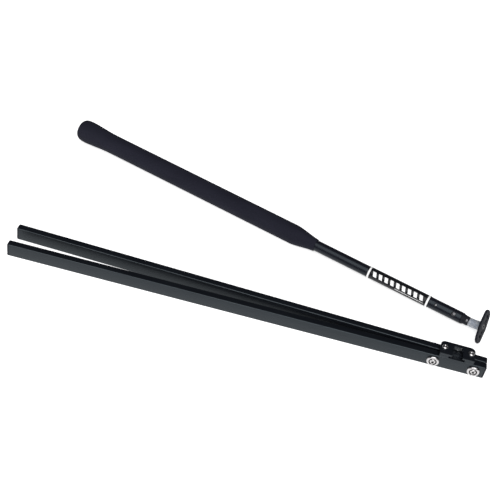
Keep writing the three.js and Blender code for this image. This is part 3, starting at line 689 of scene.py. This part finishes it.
BEAM = arm_finish()
BLACK = anodised("anodised_bracket", (0.003, 0.0035, 0.0055), (0.005, 0.006, 0.009), 0.34).material
TUBE = anodised("anodised_tube", (0.004, 0.004, 0.007), (0.006, 0.006, 0.010), 0.3, 1.32).material
NYLON = nylon()
STEEL_TONES = ((0.42, 0.41, 0.415), (0.56, 0.55, 0.55))
# Painted shade: radii within which the bolt's hex socket and the washer's countersink are coloured dark
# in place of their shadow.
SOCKET_PAINTED_SHADE = BOLT_SOCKET / math.sqrt(3) + 0.1
CUP_PAINTED_SHADE = BOLT_HEAD_RADIUS + 0.7
STEEL = steel("turned_stainless", True, *STEEL_TONES)
STRIP = steel("rolled_stainless", False, (0.42, 0.42, 0.43), (0.56, 0.56, 0.56))
CUP_STEEL = steel("washer_stainless", True, *STEEL_TONES, CUP_PAINTED_SHADE)
BOLT_STEEL = steel("bolt_stainless", True, *STEEL_TONES, SOCKET_PAINTED_SHADE)
DARK_STEEL = steel("blackened_steel", True, (0.05, 0.05, 0.055), (0.12, 0.12, 0.125))
BLACK_STEEL = steel("black_oxide_steel", True, (0.012, 0.012, 0.014), (0.03, 0.03, 0.034))
FOAM = foam()
URETHANE = urethane()
LABEL = label_print()


# ------------------------------------------------------------------ tiller arms
def section(inset):
    """The box tube's outline, drawn in by an inset, as (y, z) points."""
    least_radius = 0.3
    half = ARM_WIDTH / 2 - inset
    radius = max(ARM_CORNER - inset, least_radius)
    return rounded_box((-half, inset), (half, ARM_HEIGHT - inset), [radius] * 4, 6)


def along_arm(outline, x):
    return [Vector((x, y, z)) for y, z in outline]


def bolt_pegs(side):
    reach = FORK_GAP + ARM_WIDTH
    return [
        peg(BOLT_RADIUS + PLAY, -reach, reach, facing(TILLER, x, 0, BOLT_HEIGHT, Y * side))
        for x in BOLTS.values()
    ]


def rivet_places(sides=(-1, 1)):
    """Where the bracket's rivets stand, over the middle of each arm, as (x, y) points."""
    places = []
    for end in (-1, 1):
        x = BRACKET_X + end * RIVET_SPACING / 2
        for side in sides:
            places.append((x, side * (inner_face(x) + outer_face(x)) / 2))
    return places


def arm(label, side):
    matrix = arm_frame(side)
    start, end = PLUG_CAP - TILLER_LENGTH, -PLUG_CAP
    outer, inner = section(0), section(ARM_WALL)
    loops = [along_arm(outer, start), along_arm(outer, end)]
    loops += [along_arm(inner, end), along_arm(inner, start)]
    made = loft(f"{label}_beam", loops, matrix, closed=True)
    cut(made, *bolt_pegs(side))
    for x, y in rivet_places((side,)):
        place = facing(TILLER, x, y, 0, Z)
        cut(made, peg(RIVET_RADIUS + PLAY, ARM_HEIGHT / 2, ARM_HEIGHT + 1, place, 24))
    put(made, "tiller", "anodised_arm", BEAM, f"{label}_arm")


def end_plug(label, side, end_name):
    matrix = arm_frame(side)
    if end_name == "front":
        matrix = shifted(matrix, -PLUG_CAP, 0, 0)
    else:
        matrix = shifted(matrix, PLUG_CAP - TILLER_LENGTH, 0, 0) @ Matrix.Rotation(math.pi, 4, "Z")
    rounding = 1.9  # the CAD's is 1.0
    steps = 8
    leg = section(ARM_WALL + PLAY)
    loops = [along_arm(leg, -PLUG_LEG), along_arm(leg, SEAT)]
    loops += [along_arm(section(0.12), SEAT), along_arm(section(0), SEAT + 0.15)]
    for step in range(steps + 1):
        angle = math.pi / 2 * step / steps
        inset = rounding * (1 - math.cos(angle))
        x = PLUG_CAP - rounding + rounding * math.sin(angle)
        loops.append(along_arm(section(inset), x))
    made = loft(f"{label}_{end_name}_cap", loops, matrix)
    if end_name == "front":
        cut(made, *bolt_pegs(side))
    put(made, "tiller", "nylon", NYLON, f"{label}_arm_{end_name}_plug")


# ------------------------------------------------------------------ cross bolts
CONE_SLOPE = 0.8  # rise over run of the countersinks


def washer_cone(bore, lip):
    """Where a countersink starts and ends along the bolt."""
    start = 0.75
    return start, start + (lip - bore) * CONE_SLOPE


def cross_bolt(label, x):
    seat = outer_face(x) + GAP
    matrix = facing(TILLER, x, -seat, BOLT_HEIGHT, -Y)
    tail = 2 * seat + FLAT_WASHER_THICKNESS + NUT_HEIGHT + 2 * SEAT + BOLT_TAIL
    head = BOLT_HEAD_RADIUS - BOLT_HEAD_INSET
    cone_start, cone_end = washer_cone(BOLT_RADIUS, head)
    crown = 1.1 + (BOLT_HEAD_RADIUS - head) * CONE_SLOPE
    chamfer = 0.5
    socket_depth = 1.7
    profile = [(-tail, 0), (-tail, BOLT_RADIUS - chamfer), (chamfer - tail, BOLT_RADIUS)]
    profile += [(cone_start, BOLT_RADIUS), *dome(cone_end, crown, head, 12)]
    bolt = lathe(f"{label}_bolt_turned", profile, matrix, MEDIUM_ROUND)
    top = cone_end + crown
    cut(bolt, peg(BOLT_SOCKET / math.sqrt(3), top - socket_depth, top + 1, matrix, 6))
    eased(bolt, 0.08, 2, 40)
    put(bolt, "tiller", "stainless", BOLT_STEEL, f"{label}_bolt")


def cup_washer(label, x):
    matrix = facing(TILLER, x, -outer_face(x) - GAP, BOLT_HEIGHT, -Y)
    bore = BOLT_RADIUS + 2 * PLAY
    lip = BOLT_HEAD_RADIUS + 3 * PLAY  # one PLAY wider than the CAD's
    cone_start, cone_end = washer_cone(bore, lip)
    rim = CUP_WASHER_RADIUS
    profile = [
        (0, bore),
        (0, rim),
        (0.6 * cone_end, rim),
        (0.82 * cone_end, rim - 0.4),
        (0.97 * cone_end, rim - 1.05),
        (cone_end + 0.1, rim - 2.1),
        (cone_end + 0.2, lip + 0.3),
        (cone_end, lip),
        (cone_start, bore),
    ]
    outline = softened(profile, 0.35, 4, closed=True)
    washer = lathe(f"{label}_cup", outline, matrix, ROUND, closed=True)
    put(washer, "tiller", "stainless", CUP_STEEL, f"{label}_cup_washer")


def flat_washer(label, x):
    matrix = facing(TILLER, x, outer_face(x) + GAP, BOLT_HEIGHT, Y)
    bore, rim, thickness = BOLT_RADIUS + PLAY, FLAT_WASHER_RADIUS, FLAT_WASHER_THICKNESS
    washer = ring(f"{label}_washer", bore, rim, 0, thickness, matrix, MEDIUM_ROUND, 0.15)
    put(washer, "tiller", "stainless", STEEL, f"{label}_flat_washer")


def lock_nut(label, x):
    """A hexagon nut with chamfered corners and the raised collar of a locking insert."""
    matrix = facing(TILLER, x, outer_face(x) + GAP + FLAT_WASHER_THICKNESS + SEAT, BOLT_HEIGHT, Y)
    hex_height = NUT_HEIGHT * 0.7
    corner_radius = NUT_FLATS / math.sqrt(3)
    nut = peg(corner_radius, 0, hex_height, matrix, 6)
    nut.name = f"{label}_nut"
    flat = NUT_FLATS / 2 * 0.96
    beyond, drop = corner_radius + 0.2, 0.55
    chamfer = [(0, 0), (0, flat), (drop, beyond), (hex_height - drop, beyond)]
    chamfer += [(hex_height, flat), (hex_height, 0)]
    combined(nut, [lathe("cutter", chamfer, matrix, MEDIUM_ROUND)], "INTERSECT")
    collar = NUT_FLATS * 0.46
    slope = 0.6
    top = [(1, 0), (1, collar), (NUT_HEIGHT - slope, collar), (NUT_HEIGHT, collar - slope)]
    top.append((NUT_HEIGHT, 0))
    combined(nut, [lathe("cutter", softened(top, 0.4), matrix, MEDIUM_ROUND)], "UNION")
    cut(nut, peg(BOLT_RADIUS + SEAT, -1, NUT_HEIGHT + 1, matrix))
    put(nut, "tiller", "stainless", STEEL, f"{label}_lock_nut")


def arm_spacer():
    x = BOLTS["rear"]
    half = inner_face(x) - GAP
    matrix = facing(TILLER, x, 0, BOLT_HEIGHT, Y)
    bore = BOLT_RADIUS + PLAY
    made = ring("spacer_bush", bore, SPACER_RADIUS, -half, half, matrix, MEDIUM_ROUND, 0.15)
    put(made, "tiller", "nylon", NYLON, "arm_spacer")


# ------------------------------------------------------------------ quick-release bracket
def bracket_outline():
    half_length, half_width = BRACKET_LENGTH / 2, BRACKET_WIDTH / 2
    low = (BRACKET_X - half_length, -half_width)
    high = (BRACKET_X + half_length, half_width)
    return rounded_box(low, high, [1, 1, BRACKET_CORNER, BRACKET_CORNER], 8)


def screw_places():
    return [BRACKET_X + end * SCREW_SPACING / 2 for end in (-1, 1)]


def bracket_base():
    half = CHANNEL_WIDTH / 2
    deep = BRACKET_WIDTH
    made = slab("bracket_channel", bracket_outline(), BASE_BOTTOM, BASE_TOP, TILLER)
    cut(made, block((BRACKET_X - half, -deep, FLOOR_TOP), (BRACKET_X + half, deep, BASE_TOP + 1)))
    for x in screw_places():
        cut(made, peg(SCREW_RADIUS + SEAT, BASE_BOTTOM - 1, BASE_TOP + 1, facing(TILLER, x, 0, 0, Z)))
    for x, y in rivet_places():
        head = RIVET_RADIUS + RIVET_SPREAD + PLAY
        shank = RIVET_RADIUS + PLAY
        profile = [(BASE_BOTTOM - 1, 0), (BASE_BOTTOM - 1, shank), (FLOOR_TOP - RIVET_SINK, shank)]
        profile += [(FLOOR_TOP - 0.1, head), (FLOOR_TOP + 1, head), (FLOOR_TOP + 1, 0)]
        cut(made, lathe("cutter", profile, facing(TILLER, x, y, 0, Z), TINY_ROUND))
    eased(made, 0.22)
    put(made, "tiller", "anodised_arm", BLACK, "bracket_base")


def bracket_plate():
    half = BRACKET_WIDTH / 2
    low, high = PLATE_BOTTOM - 1, PLATE_TOP + 1
    window = LEAF_WIDTH / 2 + GAP + SEAT
    pocket_top = LEAF_MIDDLE + LEAF_THICKNESS / 2 + GAP
    slot_half = SLOT_WIDTH / 2
    made = slab("bracket_top", bracket_outline(), PLATE_BOTTOM, PLATE_TOP, TILLER)
    cut(made, block((BRACKET_X - slot_half, -half - 1, low), (BRACKET_X + slot_half, SLOT_BACK, high)))
    cut(made, block((BRACKET_X - window, SLOT_BACK - 1, low), (BRACKET_X + window, HINGE_Y, high)))
    pocket_end = LEAF_HEEL_END + GAP + 0.15
    cut(made, block((BRACKET_X - window, HINGE_Y - 1, low), (BRACKET_X + window, pocket_end, pocket_top)))
    for x in screw_places():
        cut(made, peg(SCREW_RADIUS + PLAY, low, high, facing(TILLER, x, 0, 0, Z)))
    head, shank, ledge = 1.6, 1.1, LEAF_MIDDLE - 0.5
    hole = [(low, 0), (low, head), (ledge, head), (ledge, shank)]
    hole += [(PLATE_TOP - CATCH_RIVET_SINK, shank), (PLATE_TOP - 0.1, head), (high, head), (high, 0)]
    cut(made, lathe("cutter", hole, facing(TILLER, BRACKET_X, CATCH_RIVET_Y, 0, Z), TINY_ROUND))
    eased(made, 0.6)
    put(made, "tiller", "anodised_arm", BLACK, "bracket_plate")


def bracket_screw(number, x):
    """A pan-head screw with a cross recess that narrows towards its bottom."""
    seat = PLATE_TOP + SEAT
    matrix = facing(TILLER, x, 0, 0, Z)
    profile = [(BASE_BOTTOM + GAP, 0), (BASE_BOTTOM + GAP, SCREW_RADIUS), (seat, SCREW_RADIUS)]
    profile += [(seat, SCREW_HEAD_RADIUS - 0.15), (seat + 0.2, SCREW_HEAD_RADIUS)]
    shoulder, fullness = 0.75, 0.8
    rise = SCREW_HEAD_HEIGHT - shoulder
    profile += dome(seat + shoulder, rise, SCREW_HEAD_RADIUS, 12, fullness)
    made = lathe(f"bracket_pan_screw_{number}", profile, matrix, MEDIUM_ROUND)
    top = seat + SCREW_HEAD_HEIGHT
    reach, narrow, depth = SCREW_HEAD_RADIUS * 0.62, 0.45, 1.5
    for turn in (0, math.pi / 2):
        frame_here = matrix @ Matrix.Rotation(turn, 4, "X")
        wing = [
            [Vector((top - depth, y * reach * 0.45, z * narrow * 0.7)) for y, z in SQUARE],
            [Vector((top + 1, y * reach * 1.3, z * narrow * 1.15)) for y, z in SQUARE],
        ]
        cut(made, loft("cutter", wing, frame_here))
    eased(made, 0.07, 2, 40)
    put(made, "tiller", "stainless", STEEL, f"bracket_screw_{number}")


def base_rivet(number, x, y):
    underside = ARM_HEIGHT - ARM_WALL
    bulb = RIVET_RADIUS + RIVET_SPREAD
    profile = [
        (underside - 3, 0),
        (underside - 2.8, bulb * 0.7),
        (underside - 1.5, bulb),
        (underside - 0.2, RIVET_RADIUS),
        (FLOOR_TOP - RIVET_SINK, RIVET_RADIUS),
        (FLOOR_TOP - 0.12, bulb),
        (FLOOR_TOP - 0.1, 0),
    ]
    matrix = facing(TILLER, x, y, 0, Z)
    made = lathe(f"channel_rivet_{number}", softened(profile, 0.2, 3), matrix, TINY_ROUND)
    put(made, "tiller", "anodised_arm", BLACK, f"base_rivet_{number}")


# ------------------------------------------------------------------ spring catch
def catch_leaf():
    """One strip: riveted heel, springy middle and, at the slot, a lip turned up for the thumb."""
    front = SLOT_BACK + GAP + SEAT + LEAF_THICKNESS / 2
    lip_top = PLATE_TOP + 0.4
    bend = 0.7
    flat = 22
    path = []
    for step in range(flat + 1):
        y = LEAF_HEEL_END + (front + bend - LEAF_HEEL_END) * step / flat
        path.append((y, LEAF_MIDDLE, 0.0))
    curved = 6
    for step in range(1, curved + 1):
        angle = math.pi / 2 * step / curved
        y = front + bend * (1 - math.sin(angle))
        z = LEAF_MIDDLE + bend * (1 - math.cos(angle))
        path.append((y, z, angle))
    path.append((front, lip_top, math.pi / 2))
    half_width, half = LEAF_WIDTH / 2, LEAF_THICKNESS / 2
    outline = rounded_box((-half_width, -half), (half_width, half), [0.2] * 4, 3)
    loops = []
    for y, z, lean in path:
        up = Vector((0, math.sin(lean), math.cos(lean)))
        loops.append([Vector((BRACKET_X + x, y, z)) + up * rise for x, rise in outline])
    made = loft("catch_leaf", loops, TILLER)
    to_row_frame(made)
    made.data.materials.append(STRIP)
    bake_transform(made)
    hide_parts("catch_leaf_heel", "catch_leaf_tongue")


def catch_nose():
    tip = FLOOR_TOP + FOOT_THICKNESS - 0.8
    leaf_bottom = LEAF_MIDDLE - LEAF_THICKNESS / 2
    leaf_top = LEAF_MIDDLE + LEAF_THICKNESS / 2
    profile = [(tip, 0), (tip, 0.9), (tip + 0.6, NOSE_RADIUS), (leaf_bottom - SEAT, NOSE_RADIUS)]
    profile += [(leaf_bottom - SEAT, 0.8), (leaf_top + SEAT, 0.8), (leaf_top + SEAT, 1.2)]
    profile += [(leaf_top + 0.4, 1.0), (leaf_top + 0.5, 0)]
    matrix = facing(TILLER, BRACKET_X, NOSE_Y, 0, Z)
    made = lathe("catch_stud", softened(profile, 0.25, 4), matrix)
    put(made, "catch", "stainless", STEEL, "catch_nose")


def catch_rivet():
    bottom = LEAF_MIDDLE - LEAF_THICKNESS / 2
    top = PLATE_TOP - 0.05
    head, shank = 1.4, 0.9
    profile = [(bottom - 0.25, 0), (bottom - 0.25, head), (bottom - 0.1, head), (bottom - 0.1, shank)]
    profile += [(PLATE_TOP - CATCH_RIVET_SINK, shank), (PLATE_TOP - 0.1, head), (top, 1.3), (top, 0)]
    made = lathe("leaf_rivet", profile, facing(TILLER, BRACKET_X, CATCH_RIVET_Y, 0, Z), TINY_ROUND)
    put(made, "tiller", "anodised_arm", BLACK, "catch_rivet")


# ------------------------------------------------------------------ extension
def foam_grip():
    """A long foam sleeve: domed and flared at its rear end, tapering to a thin lip in front."""
    bore = TUBE_RADIUS + GAP
    straight = GRIP_END - GRIP_TAPER
    rear = [(0, 7.6), (0.4, 10.8), (1.6, 13.5), (5, 15.8), (10, 16.8), (18, GRIP_FLARE_RADIUS)]
    rear += [(32, GRIP_FLARE_RADIUS - 0.9), (50, GRIP_RADIUS + 0.3), (GRIP_FLARE_END, GRIP_RADIUS)]
    profile = smoothed(rear)
    stations = 24
    for step in range(1, stations):
        x = GRIP_FLARE_END + (straight - GRIP_FLARE_END) * step / stations
        profile.append(Vector((x, GRIP_RADIUS)))
    steps = 24
    tip = bore + 0.8
    for step in range(steps + 1):
        share = step / steps
        ease = share * share * (3 - 2 * share) * 0.6 + share * 0.4
        radius = GRIP_RADIUS + (tip - GRIP_RADIUS) * ease
        profile.append(Vector((straight + GRIP_TAPER * share, radius)))
    lip = GRIP_END - 0.25
    profile += [Vector((GRIP_END, tip - 0.3)), Vector((GRIP_END, bore + 0.1)), Vector((lip, bore))]
    mouth, seat = TUBE_RADIUS - 1, TUBE_START - GAP
    profile += [Vector((seat, bore)), Vector((seat, mouth)), Vector((0.4, mouth))]
    made = lathe("foam_sleeve", profile, EXTENSION, 128, closed=True, sharp=50)
    put(made, "extension", "foam", FOAM, "foam_grip")


def grip_end_plug():
    inner = TUBE_RADIUS - TUBE_WALL - PLAY
    button = TUBE_RADIUS - 1 - GAP
    profile = [(0.7, 0), (0.8, button * 0.6), (1.4, button * 0.93), (2.2, button)]
    seat, leg_end = TUBE_START - GAP, TUBE_START + 14
    profile += [(seat, button), (seat, inner), (leg_end, inner), (leg_end, 0)]
    made = lathe("grip_button", softened(profile, 0.5, 4), EXTENSION, MEDIUM_ROUND)
    put(made, "extension", "nylon", NYLON, "grip_end_plug")


def fastener_peg(x):
    matrix = facing(EXTENSION, x, 0, 0, FASTENER_DIRECTION)
    return peg(FASTENER_RADIUS + PLAY, 1, TUBE_RADIUS + 1, matrix, TINY_ROUND)


def extension_tube():
    inner = TUBE_RADIUS - TUBE_WALL
    made = ring("drawn_tube", inner, TUBE_RADIUS, TUBE_START, TUBE_END, EXTENSION, ROUND, 0.35)
    for x in (FERRULE_RIVET_X, FERRULE_SCREW_X):
        cut(made, fastener_peg(x))
    put(made, "extension", "anodised_tube", TUBE, "extension_tube")


def label_band():
    inner = TUBE_RADIUS + SEAT
    outer = inner + LABEL_THICKNESS
    made = ring("label_sleeve", inner, outer, LABEL_START, LABEL_END, EXTENSION, ROUND, 0.1)
    put(made, "extension", "label", LABEL, "label_band")


def neck_ferrule():
    """A turned nylon plug: its leg is inside the tube, its cone and collar hold the neck."""
    leg = TUBE_RADIUS - TUBE_WALL - PLAY
    shoulder = TUBE_END + GAP
    front = FERRULE_FRONT
    socket = NECK_SPIGOT_RADIUS + GAP
    profile = [(TUBE_END - FERRULE_LEG, 0), (TUBE_END - FERRULE_LEG, leg), (shoulder, leg)]
    profile += [(shoulder, TUBE_RADIUS), (shoulder + 1, TUBE_RADIUS), (shoulder + 5.4, COLLAR_RADIUS)]
    bottom = front - NECK_SPIGOT - GAP
    profile += [(front, COLLAR_RADIUS), (front, socket), (bottom, socket), (bottom, 0)]
    made = lathe("turned_ferrule", softened(profile, 0.45, 4), EXTENSION, ROUND)
    cut(made, *[fastener_peg(x) for x in (FERRULE_RIVET_X, FERRULE_SCREW_X, NECK_PIN_X)])
    put(made, "extension", "nylon", NYLON, "neck_ferrule")


def radial_fastener(node, x, head_radius, head_height, seat, slotted):
    """A rivet or a screw on the tube's side, with a cross recess if it is slotted."""
    matrix = facing(EXTENSION, x, 0, 0, FASTENER_DIRECTION)
    profile = [(1.5, 0), (1.5, FASTENER_RADIUS), (seat, FASTENER_RADIUS), (seat, head_radius)]
    shoulder = head_height * 0.25
    profile += dome(seat + shoulder, head_height - shoulder, head_radius, 10)
    made = lathe(f"{node}_turned", profile, matrix, SMALL_ROUND)
    if slotted:
        top = seat + head_height
        wing = [
            [Vector((top - 0.9, y * head_radius * 0.35, z * 0.3)) for y, z in SQUARE],
            [Vector((top + 1, y * head_radius * 1.1, z * 0.5)) for y, z in SQUARE],
        ]
        roll = 0.4  # any angle would do
        for turn in (roll, roll + math.pi / 2):
            cut(made, loft("cutter", wing, matrix @ Matrix.Rotation(turn, 4, "X")))
    put(made, "extension", "dark_steel", DARK_STEEL, node)


# ------------------------------------------------------------------ neck and foot
def neck_curve(share):
    """Point and direction on the neck's bent centreline, in the row frame."""
    first = neck_start.lerp(neck_middle, share)
    second = neck_middle.lerp(neck_end, share)
    return first.lerp(second, share), (second - first).normalized()


def neck_loop(share, radius):
    point, direction = neck_curve(share)
    # The same start angle at every loop, so that the rod doesn't twist.
    up = (foot_along - direction * foot_along.dot(direction)).normalized()
    side = direction.cross(up)
    loop = []
    for step in range(MEDIUM_ROUND):
        angle = 2 * math.pi * step / MEDIUM_ROUND
        offset = up * math.cos(angle) + side * math.sin(angle)
        loop.append((point + offset * radius * MM) / MM)
    return loop


def neck_half(name, first, last, spigot, replaced):
    """Half of the neck: it bends evenly between the ferrule and the foot."""
    steps = 20
    edge = 0.5
    loops = []
    if spigot:
        back = EXTENSION @ Vector((FERRULE_FRONT - NECK_SPIGOT, 0, 0))
        shift = (back - neck_curve(0)[0]) / MM
        spigot_loop = neck_loop(0, NECK_SPIGOT_RADIUS)
        loops.append([vertex + shift for vertex in spigot_loop])
        loops.append(spigot_loop)
        loops.append(neck_loop(0, NECK_RADIUS - edge))
    for step in range(steps + 1):
        share = first + (last - first) * step / steps
        ends = min(share, 1 - share) * NECK_LENGTH
        drawn_in = edge * (1 - math.sqrt(max(0, 1 - (1 - min(ends / edge, 1)) ** 2)))
        loops.append(neck_loop(share, NECK_RADIUS - drawn_in))
    made = loft(name, loops, Matrix.Scale(MM, 4), sharp=50)
    to_row_frame(made)
    made.data.materials.append(URETHANE)
    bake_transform(made)
    if replaced:
        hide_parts("flexible_neck")


def foot_outline():
    """Two small round ends joined to a round middle by straight sides, as (y, z) points."""
    steps = 12
    half = FOOT_WIDTH / 2
    centre = FOOT_LENGTH / 2 - FOOT_END_RADIUS
    lean = math.asin((half - FOOT_END_RADIUS) / centre)
    quarter = math.pi / 2
    arcs = [
        (centre, FOOT_END_RADIUS, lean - quarter, quarter - lean),
        (0, half, quarter - lean, quarter + lean),
        (-centre, FOOT_END_RADIUS, quarter + lean, 3 * quarter - lean),
        (0, half, 3 * quarter - lean, 3 * quarter + lean),
    ]
    made = []
    for place, radius, start, end in arcs:
        for step in range(steps + 1):
            angle = start + (end - start) * step / steps
            made.append((-radius * math.sin(angle), place + radius * math.cos(angle)))
    return made


def foot_flange():
    """A moulded plate with well-rounded edges, two fixing holes and two catch holes."""
    outline = foot_outline()
    loops = flat_loops(outline, (0, FOOT_THICKNESS), lambda y, z, x: Vector((x, y, z)))
    made = loft("foot_flange", loops, FOOT)
    eased(made, 0.9, 5, 50)
    through = FOOT_THICKNESS + 1
    holes = ((FOOT_HOLE_RADIUS, FOOT_HOLE_SPACING / 2), (NOSE_RADIUS + PLAY, DETENT_PLACE))
    for end in (-1, 1):
        for radius, place in holes:
            cut(made, peg(radius, -1, through, shifted(FOOT, 0, 0, end * place)))
    shank, head = FOOT_SCREW_RADIUS + PLAY, 4.05
    sink = [(-1, 0), (-1, shank), (FOOT_THICKNESS - 2, shank), (FOOT_THICKNESS - 0.15, head)]
    sink += [(through, head), (through, 0)]
    cut(made, lathe("cutter", sink, FOOT))
    eased(made, 0.15, 2, 60)
    put(made, "foot", "nylon", NYLON, "joint_foot")


def foot_screw():
    top = FOOT_THICKNESS - 0.1
    tip, shank, head = -6, FOOT_SCREW_RADIUS, 3.7
    profile = [(tip, 0), (tip, shank), (FOOT_THICKNESS - 2, shank), (FOOT_THICKNESS - 0.25, head)]
    profile += [(top, head - 0.1), (top, 0)]
    made = lathe("foot_countersunk_screw", profile, FOOT, MEDIUM_ROUND)
    socket_depth = 1.6
    hex_radius = FOOT_SCREW_HEX / math.sqrt(3)
    cut(made, peg(hex_radius, FOOT_THICKNESS - socket_depth, FOOT_THICKNESS + 1, FOOT, 6))
    put(made, "foot", "dark_steel", BLACK_STEEL, "foot_screw")


# ------------------------------------------------------------------ the object
for label, side in (("near", -1), ("far", 1)):
    arm(label, side)
    for end_name in ("rear", "front"):
        end_plug(label, side, end_name)
for label, x in BOLTS.items():
    cross_bolt(label, x)
    cup_washer(label, x)
    flat_washer(label, x)
    lock_nut(label, x)
arm_spacer()
bracket_base()
bracket_plate()
for number, x in enumerate(screw_places(), 1):
    bracket_screw(number, x)
for number, (x, y) in enumerate(rivet_places(), 1):
    base_rivet(number, x, y)
catch_leaf()
catch_nose()
catch_rivet()
foam_grip()
grip_end_plug()
extension_tube()
label_band()
neck_ferrule()
for node, x, head_radius, head_height, seat, slotted in (
    ("ferrule_rivet", FERRULE_RIVET_X, 2.1, 1, TUBE_RADIUS + SEAT, False),
    ("ferrule_screw", FERRULE_SCREW_X, 3.2, 1.5, TUBE_RADIUS + SEAT, True),
    ("neck_pin", NECK_PIN_X, 2.4, 1.1, COLLAR_RADIUS + SEAT, False),
):
    radial_fastener(node, x, head_radius, head_height, seat, slotted)
neck_half("neck_rear_half", 0, 0.5, spigot=True, replaced=True)
neck_half("neck_front_half", 0.5, 1, spigot=False, replaced=False)
foot_flange()
foot_screw()


# ------------------------------------------------------------------ floor, light and camera
def floor():
    half_width = 6
    drop = 0.0002  # below the pieces, so that no face lies in another
    build = bmesh.new()
    bmesh.ops.create_grid(build, x_segments=1, y_segments=1, size=half_width)
    mesh = bpy.data.meshes.new("floor")
    build.to_mesh(mesh)
    build.free()
    made = bpy.data.objects.new("floor", mesh)
    made.location.z = -drop
    bpy.context.scene.collection.objects.link(made)
    paint = Paint("floor_paper", Roughness=0.9, Specular_IOR_Level=0.1)
    fibre = paint.noise(paint.row_mm(), 0.004, 2)
    paint.colour(paint.mixed(fibre, (0.86, 0.86, 0.86), (0.88, 0.88, 0.88)))
    # The paper is lit from below as well, as a photographer's table is, so shadows stay faint.
    paint.feed(paint.shader, "Emission Color", (1, 1, 1, 1))
    glow = 0.6
    paint.feed(paint.shader, "Emission Strength", glow)
    mesh.materials.append(paint.material)


def sun(name, azimuth, elevation, strength, spread):
    """Light from far away. Azimuth 0 comes from the front, -Y, and 90 from +X."""
    light = bpy.data.lights.new(name, "SUN")
    light.energy = strength
    light.angle = math.radians(spread)
    made = bpy.data.objects.new(name, light)
    bpy.context.scene.collection.objects.link(made)
    made.rotation_mode = "QUATERNION"
    made.rotation_quaternion = (-direction_from(azimuth, elevation)).to_track_quat("-Z", "Y")


def direction_from(azimuth, elevation):
    a, e = math.radians(azimuth), math.radians(elevation)
    return Vector((math.sin(a) * math.cos(e), -math.cos(a) * math.cos(e), math.sin(e)))


def studio():
    world = bpy.data.worlds.new("studio")
    bpy.context.scene.world = world
    world.use_nodes = True
    background = world.node_tree.nodes["Background"]
    background.inputs["Color"].default_value = (0.92, 0.95, 1, 1)
    background.inputs["Strength"].default_value = 0.07
    sun("key", azimuth=5, elevation=52, strength=3.7, spread=70)
    bpy.context.scene.view_settings.view_transform = "Standard"
    bpy.context.scene.view_settings.look = "None"


def camera():
    """The photograph's view: high in front of the tiller, rolled, with a long lens."""
    target = TILLER @ Vector(CAMERA_TARGET)
    back = direction_from(CAMERA_AZIMUTH, CAMERA_ELEVATION)
    data = bpy.data.cameras.new("camera")
    data.sensor_width = SENSOR_WIDTH
    data.lens = CAMERA_LENS
    made = bpy.data.objects.new("camera", data)
    bpy.context.scene.collection.objects.link(made)
    made.location = target + back * CAMERA_DISTANCE
    level = (-back).to_track_quat("-Z", "Y").to_matrix()
    roll = Matrix.Rotation(math.radians(CAMERA_ROLL), 3, "Z")
    made.rotation_mode = "QUATERNION"
    made.rotation_quaternion = (level @ roll).to_quaternion()
    bpy.context.scene.camera = made


floor()
studio()
camera()
